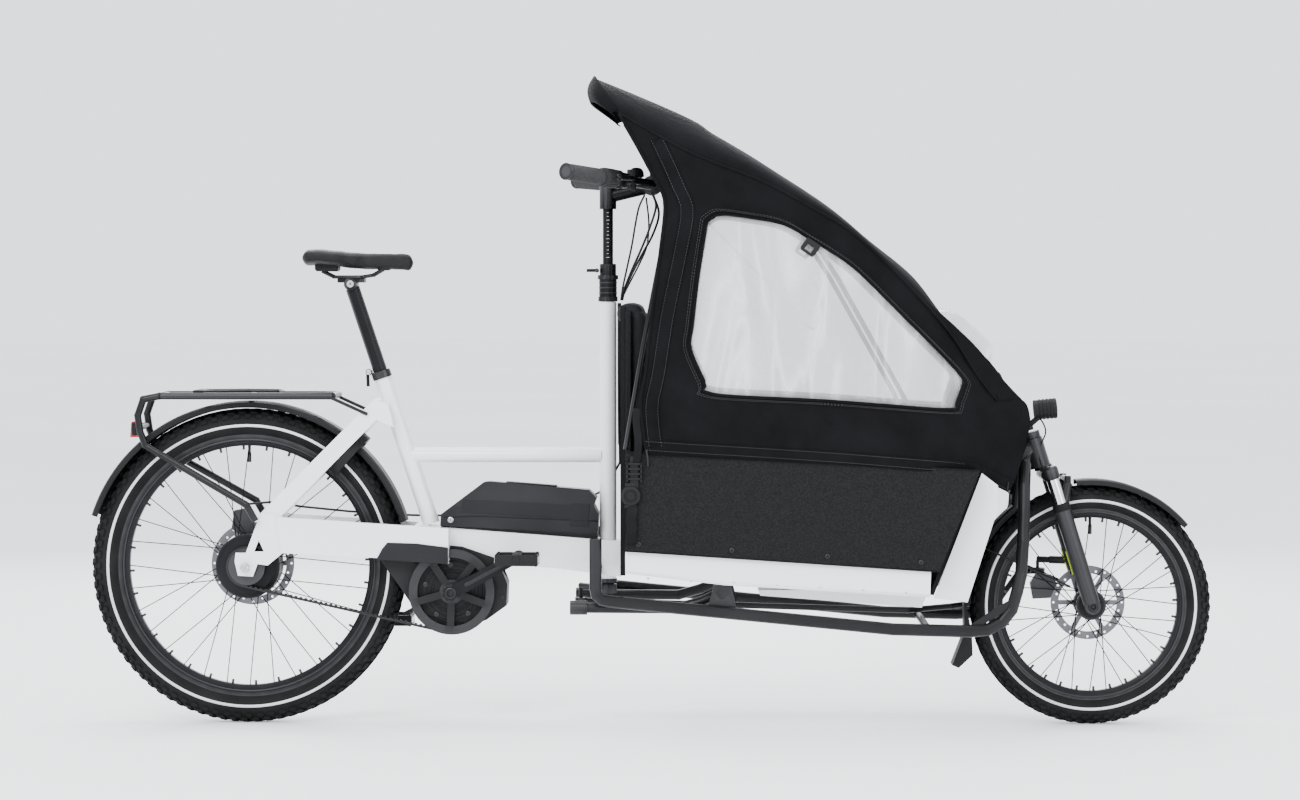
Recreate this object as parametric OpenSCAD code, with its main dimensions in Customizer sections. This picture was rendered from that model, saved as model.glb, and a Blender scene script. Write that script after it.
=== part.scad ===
// Two-wheel front-loading cargo bicycle with a child canopy.
// +X is forward, +Y is the rider's left, +Z is up. The tyres stand on Z = 0.

/* [Wheels] */
// Outer radius of the rear tyre
rear_r = 339.5; // [338:0.5:341]
// Outer radius of the front tyre
front_r = 258; // [257:0.5:259]
// Width of the rear tyre
rear_tyre_w = 60; // [56:1:62]
// Width of the front tyre
front_tyre_w = 55; // [50:1:56]
// Spokes in each wheel
spoke_count = 32; // [28:4:36]

/* [Frame] */
// Distance between the wheel axles
wheelbase = 1812.5; // [1811:0.5:1814]
// Rear axle behind the origin
rear_axle_back = 865.5; // [865:0.5:866]
// Angle of the front steering axis from vertical
head_angle = 17.5; // [17.3:0.1:17.7]
// Half the distance between the side tubes
side_tube_y = 200; // [198:1:202]
// Outer radius of a side tube
side_tube_r = 13; // [11:0.5:13]

/* [Drive] */
// Length of a crank arm
crank_len = 165; // [155:1:167]
// Angle of the right crank arm above horizontal
crank_angle = 28; // [24:1:32]
// Pitch radius of the belt on the crank ring
belt_front_r = 87.5; // [85:0.5:88]
// Pitch radius of the belt on the rear sprocket
belt_rear_r = 42; // [40:0.5:43]

/* [Cargo box] */
// Half the outer width of the box and canopy
box_half = 230; // [228:1:232]
// Thickness of the box panels
panel_t = 9; // [7:1:10]

/* [Hidden] */
$fn = 64;

rear_axle = [-rear_axle_back, 0, rear_r];
front_axle = [wheelbase - rear_axle_back, 0, front_r];
crank_axle = [-424.5, 0, 287];
column_x = -90.5;
head_ref = [826, 0, 600];
head_up = [-sin(head_angle), 0, cos(head_angle)];
fit = 0.05;
// Weld bead that a bent pipe stands proud at each bend
bead = 0.4;

// Beam, stays and seat tube
beam_half = 36;
stay_in = 60;
stay_out = 76;
seat_low = [-472, 0, 430];
seat_top = [-576.5, 0, 743.7];
seat_dir = (seat_top - seat_low) / norm(seat_top - seat_low);
seatpost_r = 15.3;

// Steering
column_r = 13.9;
post_r = 11;
bar_mid = [4, 0, 1158];
bar_bend_y = 62;
bar_end = [-165, 300, 1178];
bar_bend = [bar_mid[0], bar_bend_y, bar_mid[2]];
bar_dir = (bar_end - bar_bend) / norm(bar_end - bar_bend);
bar_len = norm(bar_end - bar_bend);
bar_r = 11.1;
arm_vec = [-62, 85, 0];

// A straight round rod between two points
module rod(a, b, r) {
    d = b - a;
    translate(a)
        rotate([0, acos(d[2] / norm(d)), atan2(d[1], d[0])])
            cylinder(r = r, h = norm(d));
}

// A bent round pipe along a list of points
module pipe(pts, r) {
    for (i = [0 : len(pts) - 2])
        rod(pts[i], pts[i + 1], r);
    for (i = [1 : max(1, len(pts) - 2)])
        if (len(pts) > 2)
            translate(pts[i])
                sphere(r = r + bead);
}

// Children drawn with their Z axis along d from point p
module along(p, d) {
    translate(p)
        rotate([0, acos(d[2] / norm(d)), atan2(d[1], d[0])])
            children();
}

// An outline in X and Z, extruded from y0 to y1
module plate(pts, y0, y1) {
    translate([0, y1, 0])
        rotate([90, 0, 0])
            linear_extrude(y1 - y0)
                polygon(pts);
}

// Children and their mirror image in the mid plane
module both() {
    children();
    mirror([0, 1, 0])
        children();
}

// Children with their Z axis along +Y, at a point
module on_y(p) {
    translate(p)
        rotate([-90, 0, 0])
            children();
}

function swap_y(p) = [p[0], -p[1], p[2]];
function on_head(z) = head_ref + head_up * ((z - head_ref[2]) / head_up[2]);

// A tube with flat sides swept along points chosen by hand
function unit(v) = v / norm(v);
function tangent(p, i) = unit(p[min(i + 1, len(p) - 1)] - p[max(i - 1, 0)]);
function ring_at(p, i, r, n) = let (
    t = tangent(p, i),
    s = unit(cross(t, abs(t[1]) > 0.8 ? [1, 0, 0] : [0, 1, 0])),
    u = cross(s, t)
) [for (k = [0 : n - 1]) p[i] + r * (cos(360 * k / n) * s + sin(360 * k / n) * u)];
module swept(p, r, n = 8) {
    last = len(p) - 1;
    polyhedron(
        points = [for (i = [0 : last]) each ring_at(p, i, r, n)],
        faces = concat(
            [[for (k = [n - 1 : -1 : 0]) k]],
            [[for (k = [0 : n - 1]) last * n + k]],
            [for (i = [0 : last - 1], k = [0 : n - 1])
                [i * n + k, i * n + (k + 1) % n, (i + 1) * n + (k + 1) % n, (i + 1) * n + k]]
        )
    );
}

// ---------- frame ----------

beam_side = [[-500, 350], [-211, 337.5], [-61.6, 318], [-61.6, 394.8], [-500, 428.5]];
stay_side = [[-788, 371], [-586, 361], [-430, 350], [-430, 424], [-539, 431.5], [-798, 448]];
dropout_side = [
    [-832, 458], [-837, 445], [-865, 371], [-887, 371], [-889, 352], [-882, 322], [-850, 320],
    [-840, 347], [-818, 344], [-788, 369], [-786, 448]
];

module main_beam() color("white") difference() {
    union() {
        plate(beam_side, -beam_half, beam_half);
        plate([[-505, 352], [-430, 348], [-430, 424], [-505, 429]], -stay_out, stay_out);
        both() {
            plate(stay_side, stay_in, stay_out);
            plate(dropout_side, stay_in, stay_in + 10);
        }
    }
    translate([column_x, 0, 300])
        cylinder(r = 18, h = 120);
    // slot that the belt's upper run passes through
    translate([-520, -59, 340])
        cube([100, 18, 62]);
    // axle slot and the triangular window in each dropout
    on_y(rear_axle - [0, 90, 0])
        cylinder(r = 6, h = 180);
    plate([[-847, 374], [-826, 374], [-837, 398]], -90, 90);
}

module seatstays() color("white") difference() {
    union() {
        both()
            plate([[-832, 458], [-793, 446], [-568, 673], [-590.5, 700]], 46, 60);
        plate([[-583, 655], [-548, 640], [-560, 690], [-590.5, 700]], -60, 60);
    }
    rod(seat_low, seat_top, 18);
}

module seat_tube() color("white") difference() {
    rod(seat_low, seat_top, 18);
    rod(seat_low + seat_dir * 30, seat_top + seat_dir, seatpost_r + fit);
}

module top_tube() color("white") difference() {
    rod([-521, 0, 578], [column_x - 14, 0, 578], 16);
    rod(seat_low, seat_top, 18);
    translate([column_x, 0, 500])
        cylinder(r = 18, h = 160);
}

module steering_tube() color("white") difference() {
    translate([column_x, 0, 312])
        cylinder(r = 18, h = 597);
    translate([column_x, 0, 300])
        cylinder(r = column_r + fit, h = 620);
}

module head_tube() color("black") difference() {
    rod(on_head(554), on_head(614), 22);
    rod(on_head(540), on_head(630), 14 + fit);
}

side_route = [
    [-111, side_tube_y, 411], [-111, side_tube_y, 306], [-108, side_tube_y, 292], [-98, side_tube_y, 283],
    [-84, side_tube_y, 280], [515, side_tube_y, 222], [676, side_tube_y, 218], [712, 199, 221],
    [742, 196, 237], [763, 193, 263], [774, 190, 300], [783, 185, 337], [790, 152, 400], [794, 124, 460],
    [797, 98, 518], [801, 70, 562], [807, 38, 588], [814, 12, 594]
];
module side_tubes() color("black") difference() {
    union() {
        both() {
            swept(side_route, side_tube_r, 16);
            // gusset in the front bend
            plate([[684, 222], [752, 262], [760, 285], [730, 268], [665, 224]], side_tube_y - 3, side_tube_y);
            // stand bracket
            plate([[120, 252], [190, 246], [172, 314], [138, 314]], 179, 190);
        }
        // cross members under the front and behind the back of the box
        rod([590, -side_tube_y, 217], [590, side_tube_y, 217], 8);
        both()
            rod([-111, 36.1, 340], [-111, side_tube_y, 340], 9);
    }
    rod(on_head(530), on_head(640), 22);
    rod([155, -220, 297], [155, 220, 297], 12 + fit);
}

// ---------- cargo box ----------

module tray_side(y0, y1) {
    plate([[-48, 340], [160, 316], [590, 291], [592, 344], [-48, 386]], y0, y1);
}
module box_tray() color("white") {
    difference() {
        union() {
            tray_side(-box_half + 10, box_half - 10);
            plate([[231, 300], [236, 288], [577, 263], [590, 300]], -150, 150);
        }
        // hollow inside of the tray
        plate([[-45, 344], [160, 320], [586, 295], [589, 360], [-40, 400]], -box_half + 13, box_half - 13);
        plate([[236, 330], [239, 291], [572, 266.5], [584, 305], [584, 330]], -147, 147);
    }
    // cheeks ahead of the bulkhead
    both()
        plate([[701, 549], [735, 523], [733, 467], [672, 276], [601, 285]], 168, 171);
}

module box_panels() color("dimgray") {
    both()
        plate([[-48, 387], [609, 345], [693, 557], [-48, 597]], box_half - panel_t, box_half);
    // bulkhead
    plate([[592.3, 292], [601, 291], [709, 558], [700, 559]], -167, 167);
    plate([[598, 346], [604, 345.5], [690, 557], [684, 557]], 172, box_half - panel_t - 0.5);
    plate([[598, 346], [604, 345.5], [690, 557], [684, 557]], -box_half + panel_t + 0.5, -172);
    // back panel
    plate([[-60, 330], [-50, 330], [-50, 900], [-60, 900]], -150, 150);
}

module cushion(size, r) {
    translate([r, r, r])
        hull()
            for (x = [0, size[0] - 2 * r], y = [0, size[1] - 2 * r], z = [0, size[2] - 2 * r])
                translate([x, y, z])
                    sphere(r = r, $fn = 24);
}
module bench_cushions() color("#333333") {
    translate([-46, -175, 420])
        cushion([270, 350, 60], 18);
    translate([-46, -165, 490])
        cushion([45, 330, 415], 18);
    // bench board and its legs
    translate([-46, -180, 408])
        cube([262, 360, 11]);
    both()
        translate([190, 160, 330])
            cube([18, 12, 78]);
}

// Side outline of the canopy up to the seam, and its crowned middle
canopy_seam = [
    [-78, 560], [-19, 692], [-7.6, 765], [5, 882], [24, 1016], [34, 1120], [-0.5, 1188], [-60, 1300],
    [55, 1232], [118, 1206], [235, 1162], [338, 1107], [435, 1048], [545, 948], [640, 850],
    [700, 735], [745, 650], [752, 552], [697, 551], [697, 560]
];
canopy_mid = [
    [60, 1150], [-90, 1345], [-110, 1375], [78, 1285], [140, 1249], [237, 1190], [370, 1106],
    [460, 1036], [550, 962], [610, 885], [672, 790], [715, 730], [765, 700], [786, 650], [770, 560],
    [700, 556]
];
canopy_top = [
    [-20, 1285], [-118, 1330], [-126, 1372], [-120, 1396], [-108, 1394], [78, 1310], [137, 1270], [237, 1209],
    [373, 1118], [461, 1046], [551, 975], [611, 897], [669, 802], [716, 737], [746, 778], [785, 750],
    [806, 690], [783, 630], [764, 530], [700, 600], [400, 900]
];
window_side = [
    [122, 1075], [150, 1092], [215, 1085], [285, 1073], [340, 1040], [395, 1006], [440, 975],
    [520, 893], [650, 760], [658, 733], [645, 698], [630, 684], [137, 716], [118, 742], [88, 812], [92, 858]
];
module canopy() color("#222222") difference() {
    union() {
        plate(canopy_seam, -box_half - 4, box_half + 4);
        plate(canopy_mid, -185, 185);
        plate(canopy_top, -110, 110);
    }
    // the cabin: open at the rear mouth and at the bottom
    plate([
        [-110, 540], [-120, 900], [-80, 1240], [55, 1226], [116, 1201], [233, 1157], [335, 1102],
        [431, 1044], [541, 944], [636, 848], [695, 733], [740, 650], [740, 590], [714, 548], [714, 500]
    ], -box_half - 1, box_half + 1);
    plate([
        [-100, 1100], [-120, 1240], [-98, 1360], [76, 1280], [138, 1245], [235, 1186], [367, 1101],
        [457, 1031], [546, 958], [606, 882], [668, 787], [690, 740], [400, 800]
    ], -181, 181);
    plate([
        [-40, 1200], [-130, 1340], [-120, 1378], [76, 1304], [135, 1264], [235, 1203], [370, 1112],
        [458, 1040], [547, 970], [606, 893], [664, 799], [690, 750], [400, 800]
    ], -106, 106);
    plate(window_side, -300, 300);
    // windscreen opening
    translate([548, -120, 760])
        cube([130, 240, 270]);
}

module canopy_windows() color("gainsboro") {
    intersection() {
        plate(window_side, -300, 300);
        both()
            translate([0, box_half + 1.5, 600])
                cube([800, 1.5, 600]);
    }
    plate([[552, 968], [602, 915], [672, 815], [676, 817], [606, 920], [555, 972]], -119, 119);
}

module canopy_poles() color("black") {
    // rear and front hoops
    swept([
        [-48, -214, 600], [-10, -214, 820], [50, -214, 1130], [54, -206, 1184], [58, -170, 1212],
        [60, 0, 1216],
        [58, 170, 1212], [54, 206, 1184], [50, 214, 1130], [-10, 214, 820], [-48, 214, 600]
    ], 5, 10);
    swept([
        [560, -214, 580], [540, -214, 700], [395, -214, 960], [330, -206, 1060], [300, -170, 1092],
        [296, 0, 1098],
        [300, 170, 1092], [330, 206, 1060], [395, 214, 960], [540, 214, 700], [560, 214, 580]
    ], 5, 10);
}

module side_straps() color("#1a1a1a") both() {
    translate([-32, box_half + 5, 575])
        cube([16, 2.5, 110]);
    translate([-45, box_half + 5, 532])
        cube([32, 6, 42]);
    translate([-56, box_half + 5, 479])
        cube([40, 6, 50]);
    translate([-46, box_half + 5, 404])
        cube([22, 3, 74]);
}

// ---------- drive ----------

battery_side = [
    [-448, 452.5], [-358, 520], [-346, 522], [-131, 504.5], [-114, 487], [-120, 472], [-110, 452.5],
    [-112, 412],
    [-450, 427.5]
];
module battery() color("#2a2a2a") {
    difference() {
        plate(battery_side, -46, 46);
        // bevelled upper edges
        both()
            translate([-500, 46, 470])
                rotate([32, 0, 0])
                    cube([500, 60, 90]);
    }
    // lock cylinder
    on_y([-427, -50, 441])
        cylinder(r = 6, h = 4);
}

module motor() color("#1c1c1c") difference() {
    union() {
        plate([
            [-514, 296], [-518, 340], [-500, 346], [-328, 340], [-306, 303], [-308, 256], [-351, 225],
            [-424, 203], [-500, 230]
        ], -37, 37);
        on_y(crank_axle - [0, 41, 0])
            cylinder(r = 40, h = 80);
    }
    on_y(crank_axle - [0, 60, 0])
        cylinder(r = 12 + fit, h = 120);
}

cover_side = [
    [-586, 363], [-560, 396], [-403, 383], [-328, 357], [-306, 303], [-308, 256], [-351, 225],
    [-380, 215], [-500, 240], [-540, 300]
];
module motor_covers() color("#262626") both() difference() {
    plate(cover_side, 37.5, 41);
    on_y(crank_axle)
        cylinder(r = 41, h = 60);
    // notch round the beam's yoke
    plate([[-506, 347], [-429, 347], [-429, 430], [-506, 430]], 30, 50);
}

module belt_loop(extra) {
    // circles of both pulleys and the tangent quadrilateral between them
    d = [rear_axle[0] - crank_axle[0], rear_axle[2] - crank_axle[2]];
    a = atan2(d[1], d[0]);
    b = acos((belt_front_r - belt_rear_r) / norm(d));
    proud = 0.15;
    r1 = belt_front_r + extra;
    r2 = belt_rear_r + extra;
    translate([crank_axle[0], crank_axle[2]])
        circle(r = r1, $fn = 96);
    translate([rear_axle[0], rear_axle[2]])
        circle(r = r2, $fn = 96);
    polygon([
        for (s = [1, -1])
            [crank_axle[0] + (r1 + proud) * cos(a + s * b), crank_axle[2] + (r1 + proud) * sin(a + s * b)],
        for (s = [-1, 1])
            [rear_axle[0] + (r2 + proud) * cos(a + s * b), rear_axle[2] + (r2 + proud) * sin(a + s * b)]
    ]);
}
module drive_belt() color("#111111")
    translate([0, -45, 0])
        rotate([90, 0, 0])
            linear_extrude(11)
                difference() {
                    belt_loop(2);
                    belt_loop(-2);
                }

module belt_ring() color("black")
    on_y(crank_axle - [0, 56, 0])
        difference() {
            union() {
                translate([0, 0, 0.5])
                    linear_extrude(9.5)
                        difference() {
                            circle(r = belt_front_r - 2.5, $fn = 100);
                            circle(r = belt_front_r - 14);
                        }
                translate([0, 0, -3])
                    difference() {
                        cylinder(r = 92, h = 2.5);
                        translate([0, 0, -1])
                            cylinder(r = belt_front_r - 14, h = 5);
                    }
                for (i = [0 : 4])
                    rotate(i * 72 + 20)
                        translate([20, -8, -2.2])
                            cube([59, 16, 7]);
                translate([0, 0, -3])
                    cylinder(r = 26, h = 9);
            }
            translate([0, 0, -5])
                cylinder(r = 12, h = 30);
        }

module crank_arm(a) {
    // the arm lies in the XZ plane at angle a, its outer face away from the bike
    rotate([0, -a, 0]) {
        rod([0, -94, 0], [0, -80, 0], 19);
        rod([crank_len, -94, 0], [crank_len, -80, 0], 14);
        plate([[0, -15], [crank_len, -10], [crank_len, 10], [0, 15]], -93, -81);
    }
}
module crankset() color("#1a1a1a") {
    translate(crank_axle)
        difference() {
            union() {
                rod([0, -96, 0], [0, 96, 0], 12);
                crank_arm(crank_angle);
                rotate([0, 0, 180])
                    crank_arm(crank_angle);
            }
            for (s = [1, -1])
                rotate([0, (s > 0 ? 0 : 180) - crank_angle, 0])
                    translate([crank_len, 0, 0])
                        rod([0, s > 0 ? -100 : 70, 0], [0, s > 0 ? -70 : 100, 0], 7 + fit);
        }
}

function pedal_point(s) = crank_axle
    + [s * crank_len * cos(crank_angle), 0, s * crank_len * sin(crank_angle)];
module pedal(y0) {
    // a platform round the spindle, drawn outwards in +Y from y0
    on_y([0, y0 - 14, 0])
        cylinder(r = 7, h = 112);
    difference() {
        translate([-45, y0 + 6, -11.5])
            cube([90, 92, 23]);
        both()
            for (x = [-1, 1])
                translate([x * 24 - 14, y0 + 14, -20])
                    cube([28, 76, 40]);
    }
}
module pedal_right() color("#222222")
    translate(pedal_point(1))
        mirror([0, 1, 0])
            pedal(94);
module pedal_left() color("#222222")
    translate(pedal_point(-1))
        pedal(94);

// ---------- rear carrier and fender ----------

module rear_rack() color("black") {
    both() {
        pipe([
            [-679, 62, 707], [-1050, 62, 707], [-1085, 62, 700], [-1097, 62, 665], [-1092, 62, 630],
            [-1080, 62, 600], [-862, 82, 475], [-842, 82, 440]
        ], 7.5);
        rod([-683, 64, 704], [-604, 63, 668], 3.5);
    }
    rod([-679, -62, 707], [-679, 62, 707], 7.5);
    rod([-860, -62, 707], [-860, 62, 707], 6);
    rod([-1050, -62, 707], [-1050, 62, 707], 6);
    rod([-1097, -62, 640], [-1097, 62, 640], 7.2);
}

module tail_light() color("red")
    plate([[-1119, 617], [-1105, 617], [-1104.5, 653], [-1116, 650]], -30, 30);

module fender_arc(r, half, t) {
    rotate_extrude(angle = 146, start = 16)
        polygon([
            [r - 14, -half], [r - 14, -half + t], [r - 4, -half + t + 1], [r - t, -half + 8],
            [r - t, half - 8],
            [r - 4, half - t - 1], [r - 14, half - t], [r - 14, half], [r - 3, half], [r, half - 8],
            [r, -half + 8],
            [r - 3, -half]
        ]);
}
module rear_fender() color("#181818")
    translate(rear_axle)
        rotate([90, 0, 0])
            fender_arc(355.6, 34, 2);

module ring_lock() color("#161616")
    // a C shaped lock body that stands across the tyre at the stays, open towards the hub
    along([-653, 0, 573], [10, 0, -9])
        difference() {
            union() {
                translate([-4, 0, -9])
                    cylinder(r = 60, h = 18);
                for (s = [-1, 1])
                    translate([-30, s * 53 - 6, -24])
                        cube([34, 12, 20]);
            }
            translate([0, 0, -10])
                linear_extrude(20)
                    hull() {
                        circle(r = 42);
                        for (s = [-1, 1])
                            translate([-41, s * 34])
                                circle(r = 8);
                    }
            translate([0, -30, -10])
                cube([80, 60, 20]);
        }

module rear_caliper() color("#202020") difference() {
    plate([[-911, 415], [-905, 455], [-880, 460], [-862, 448], [-864, 406], [-890, 400]], 42, 58);
    on_y(rear_axle + [0, 48.5, 0])
        cylinder(r = 92, h = 4);
}

module frame_hardware() color("#333333") {
    // rail under the battery
    plate([[-450, 426.5], [-112, 411], [-112, 399.5], [-450, 425.6]], -20, 20);
    // seat collar
    difference() {
        rod(seat_top + seat_dir * 0.2, seat_top + seat_dir * 14, 21);
        rod(seat_top - seat_dir, seat_top + seat_dir * 20, seatpost_r + fit);
    }
    // steering tube's lower cup
    translate([column_x, 0, 304])
        difference() {
            cylinder(r = 20, h = 7.9);
            translate([0, 0, -1])
                cylinder(r = column_r + fit, h = 12);
        }
    // rear axle with its nuts
    on_y(rear_axle - [0, 84, 0])
        cylinder(r = 5, h = 168);
    both()
        on_y(rear_axle + [0, 76.2, 0])
            cylinder(r = 9, h = 7);
    // screws along the lower edge of each side panel
    both()
        for (x = [-20, 175, 375, 570])
            on_y([x, box_half + 0.1, 402 - 0.0625 * (x + 20)])
                cylinder(r = 5, h = 2);
}

module frame_cables() color("#101010") {
    // rear brake hose along the left stay
    swept([
        [-66, 30, 600], [-66, 42, 560], [-100, 48, 500], [-200, 50, 452], [-350, 52, 446], [-480, 62, 443],
        [-560, 66, 445], [-660, 67, 452], [-760, 67, 462], [-830, 62, 472], [-880, 52, 468]
    ], 2.5);
    // wire bundle on the steering tube
    swept([
        [-66, 0, 906], [-66, 0, 860], [-66, 0, 800], [-66, 4, 740], [-66, 10, 680], [-66, 22, 630],
        [-66, 30, 600]
    ], 4);
}

// ---------- saddle ----------

saddle_z = 1021;
module seatpost() color("#151515") {
    rod(seat_low + seat_dir * 155, seat_top + seat_dir * 205, seatpost_r);
    // clamp head
    on_y([-644, -22, 947])
        cylinder(r = 14, h = 44);
    translate([-672, -20, 950])
        cube([58, 40, 9]);
    // saddle rails
    both()
        pipe([
            [-705, 18, 974], [-680, 21, 962], [-620, 21, 962], [-596, 19, 966], [-575, 12, 978]
        ], 3.5);
}

module saddle() color("#1d1d1d")
    hull() {
        for (s = [-1, 1]) {
            translate([-735, s * 58, saddle_z - 12])
                sphere(r = 14, $fn = 32);
            translate([-690, s * 62, saddle_z - 20])
                sphere(r = 12, $fn = 32);
        }
        translate([-640, 0, saddle_z - 20])
            sphere(r = 14, $fn = 32);
        translate([-520, 0, saddle_z - 23])
            sphere(r = 13, $fn = 32);
    }

module seat_lever() color("#222222") {
    difference() {
        on_y([-606, -9, 757])
            cylinder(r = 7, h = 18);
        on_y([-606, -12, 757])
            cylinder(r = 3, h = 24);
    }
    rod([-609, -2, 752], [-608, -2, 726], 3.5);
}

// ---------- wheels ----------

module tyre(p, r, w, bead) color("#141414")
    on_y(p)
        rotate_extrude($fn = 128)
            difference() {
                translate([r - w / 2, 0])
                    circle(r = w / 2);
                translate([r - w / 2 - 4, 0])
                    circle(r = w / 2 - 6);
                translate([0, -w])
                    square([bead, 2 * w]);
            }
module rim(p, inner, outer) color("#1b1b1b")
    on_y(p)
        rotate_extrude($fn = 128)
            polygon([
                [inner, -7], [inner + 6, -11.5], [outer, -13.5], [outer, 13.5], [inner + 6, 11.5], [inner, 7]
            ]);
// Crossed spokes between a hub flange and the rim
module spokes(p, hub_r, rim_r, flange_y, lean) color("#2b2b2b")
    translate(p)
        for (side = [-1, 1], i = [0 : spoke_count / 2 - 1]) {
            swing = (i % 2 == 0) ? lean : -lean;
            a = (i + (side > 0 ? 0.5 : 0)) * 720 / spoke_count;
            y = side * (flange_y + (i % 2) * 3.4);
            rod(
                [hub_r * cos(a + swing), y, hub_r * sin(a + swing)],
                [rim_r * cos(a), side * 5, rim_r * sin(a)], 0.95
            );
        }
module rotor(p, y, r) color("silver")
    on_y(p + [0, y, 0])
        linear_extrude(2)
            difference() {
                union() {
                    difference() {
                        circle(r = r);
                        circle(r = r - 17);
                    }
                    for (i = [0 : 5])
                        rotate(i * 60)
                            translate([28, -5])
                                square([r - 40, 10]);
                    circle(r = 32);
                }
                circle(r = 20.5);
                for (i = [0 : 23])
                    rotate(i * 15)
                        translate([r - 6 - (i % 2) * 5, 0])
                            circle(r = 2.6, $fn = 16);
            }

module rear_tyre() tyre(rear_axle, rear_r, rear_tyre_w, 285.5);
module rear_rim() rim(rear_axle, 259, 285);
module rear_spokes() spokes(rear_axle, 64, 262, 26, 20);
module rear_rotor() rotor(rear_axle, 49.5, 90);
module rear_hub() color("#191919")
    on_y(rear_axle)
        rotate_extrude()
            polygon([
                [5 + fit, -58], [18, -58], [18, -43], [58, -42], [69, -34], [69, 34], [58, 42], [20.4, 44],
                [20.4, 56], [5 + fit, 56]
            ]);
module rear_sprocket() color("#2a2a2a")
    on_y(rear_axle - [0, 55.5, 0])
        difference() {
            cylinder(r = belt_rear_r - 2.5, h = 10);
            translate([0, 0, -1])
                cylinder(r = 18 + 0.3, h = 20);
        }

module front_tyre() tyre(front_axle, front_r, front_tyre_w, 208.5);
module front_rim() rim(front_axle, 187, 208);
module front_spokes() spokes(front_axle, 28, 190, 24, 55);
module front_rotor() rotor(front_axle, 38, 80);
module front_hub() color("#191919")
    on_y(front_axle)
        rotate_extrude()
            polygon([
                [7.5 + fit, -44], [14, -44], [14, -32], [32, -31], [32, -22], [16, -18], [16, 18],
                [32, 22], [32, 31],
                [20.4, 32], [20.4, 43], [7.5 + fit, 43]
            ]);

// ---------- fork ----------

leg_y = 58;
leg_dir = -head_up;
crown_c = on_head(537);
leg_top = crown_c + [12, leg_y, 3.8];
leg_low_end = front_axle + [-12, leg_y, 30];
leg_joint = leg_top + leg_dir * 72;

module fork_upper() color("#161616") {
    // steerer
    rod(on_head(548), on_head(622), 14);
    // crown
    hull() {
        rod(crown_c - [0, leg_y, 0], crown_c + [0, leg_y, 0], 9);
        both()
            rod(leg_top - leg_dir * 10, leg_top + leg_dir * 10, 17);
    }
    // stanchions
    both()
        rod(leg_top, leg_top + leg_dir * 190, 13.9);
    // clamp on top of the head tube
    rod(on_head(615), on_head(628), 20);
}

module fork_lowers() color("#191919") difference() {
    union() {
        both() {
            rod(leg_joint, leg_top + leg_dir * 290, 18);
            // dropout
            rod(leg_top + leg_dir * 280, [front_axle[0], leg_y, front_axle[2]], 13);
            on_y([front_axle[0], 47, front_axle[2]])
                cylinder(r = 17, h = 24);
            // side of the arch in front of the tyre
            rod(leg_joint + leg_dir * 14, [894, 50, 521], 9.5);
        }
        rod([894, -50, 529], [894, 50, 529], 6.4);
        both()
            rod([894, 50, 514], [894, 50, 537], 7);
        // steering arm on the left leg, with its ball stud
        pipe([[868, 72, 348], [843, 85, 348]], 7);
        rod([868, 72, 348], [908, leg_y, 348], 8.5);
        translate([843, 85, 300])
            cylinder(r = 3.5, h = 46);
    }
    both()
        rod(leg_joint - leg_dir * 60, leg_top + leg_dir * 235, 13.9 + fit);
    // steering arm's clearance round the wheel stays free
    on_y(front_axle - [0, 46, 0])
        cylinder(r = 40, h = 92);
}

module front_fender() color("#161616") {
    translate(front_axle)
        rotate([90, 0, 0])
            for (span = [[40, 57], [128, 52]])
                rotate_extrude(angle = span[1], start = span[0])
                    polygon([
                        [258.8, -33], [258.8, -31], [266, -30], [268.5, -24], [268.5, 24], [266, 30],
                        [258.8, 31],
                        [258.8, 33], [268, 33], [270.5, 25], [270.5, -25], [268, -33]
                    ]);
    // mud flap
    plate([[675, 262], [679, 262], [692, 196], [694, 150], [664, 122], [650, 128], [676, 196]], -28, 28);
    // stays from the axle
    both()
        pipe([[720, 40, 380], [900, 58, 300]], 2);
}

module front_caliper() color("#202020") difference() {
    plate([[828, 266], [822, 300], [836, 322], [868, 318], [880, 300], [866, 268]], 31, 47);
    on_y(front_axle + [0, 37, 0])
        cylinder(r = 82, h = 4);
}

module headlight() color("#161616") {
    rod([826, 0, 676], [872, 0, 680], 21);
    pipe([[812, 0, 640], [838, 0, 662]], 6);
    rod([812, 0, 640], [814, 0, 632], 12);
}

// ---------- steering ----------

module steering_column() color("#1a1a1a") difference() {
    union() {
        translate([column_x, 0, 296])
            cylinder(r = column_r, h = 620);
        // collar above the steering tube
        translate([column_x, 0, 909.5])
            cylinder(r = 21, h = 10);
        translate([column_x, 0, 919])
            cylinder(r = 19, h = 40);
        translate([column_x, 0, 957])
            cylinder(r = 22, h = 9);
        translate([column_x, 0, 966])
            cylinder(r = 17.5, h = 24);
        // lower arm
        translate([column_x, 0, 280])
            cylinder(r = 19, h = 20);
        rod([column_x, 0, 289], [column_x, 0, 289] + arm_vec, 7);
        translate([column_x, 0, 244] + arm_vec)
            cylinder(r = 4, h = 46);
    }
    translate([column_x, 0, 600])
        cylinder(r = post_r + fit, h = 400);
}

module column_lever() color("#141414") {
    on_y([-114, -16, 976])
        cylinder(r = 4.5, h = 32);
    rod([-115, -11, 976], [-136, -11, 976], 3.4);
}

module stem() color("#151515") {
    rod([column_x, 0, 690], [column_x, 0, 1135], post_r);
    rod([column_x, 0, 1108], [column_x, 0, 1160], 18);
    difference() {
        rod([column_x, 0, 1135], bar_mid, 15);
        rod(bar_mid - [0, 40, 0], bar_mid + [0, 40, 0], 12);
    }
    difference() {
        rod(bar_mid - [0, 24, 0], bar_mid + [0, 24, 0], 21);
        rod(bar_mid - [0, 40, 0], bar_mid + [0, 40, 0], bar_r);
    }
}

module handlebar() color("#151515")
    pipe([swap_y(bar_end), swap_y(bar_bend), bar_bend, bar_end], bar_r);

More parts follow.
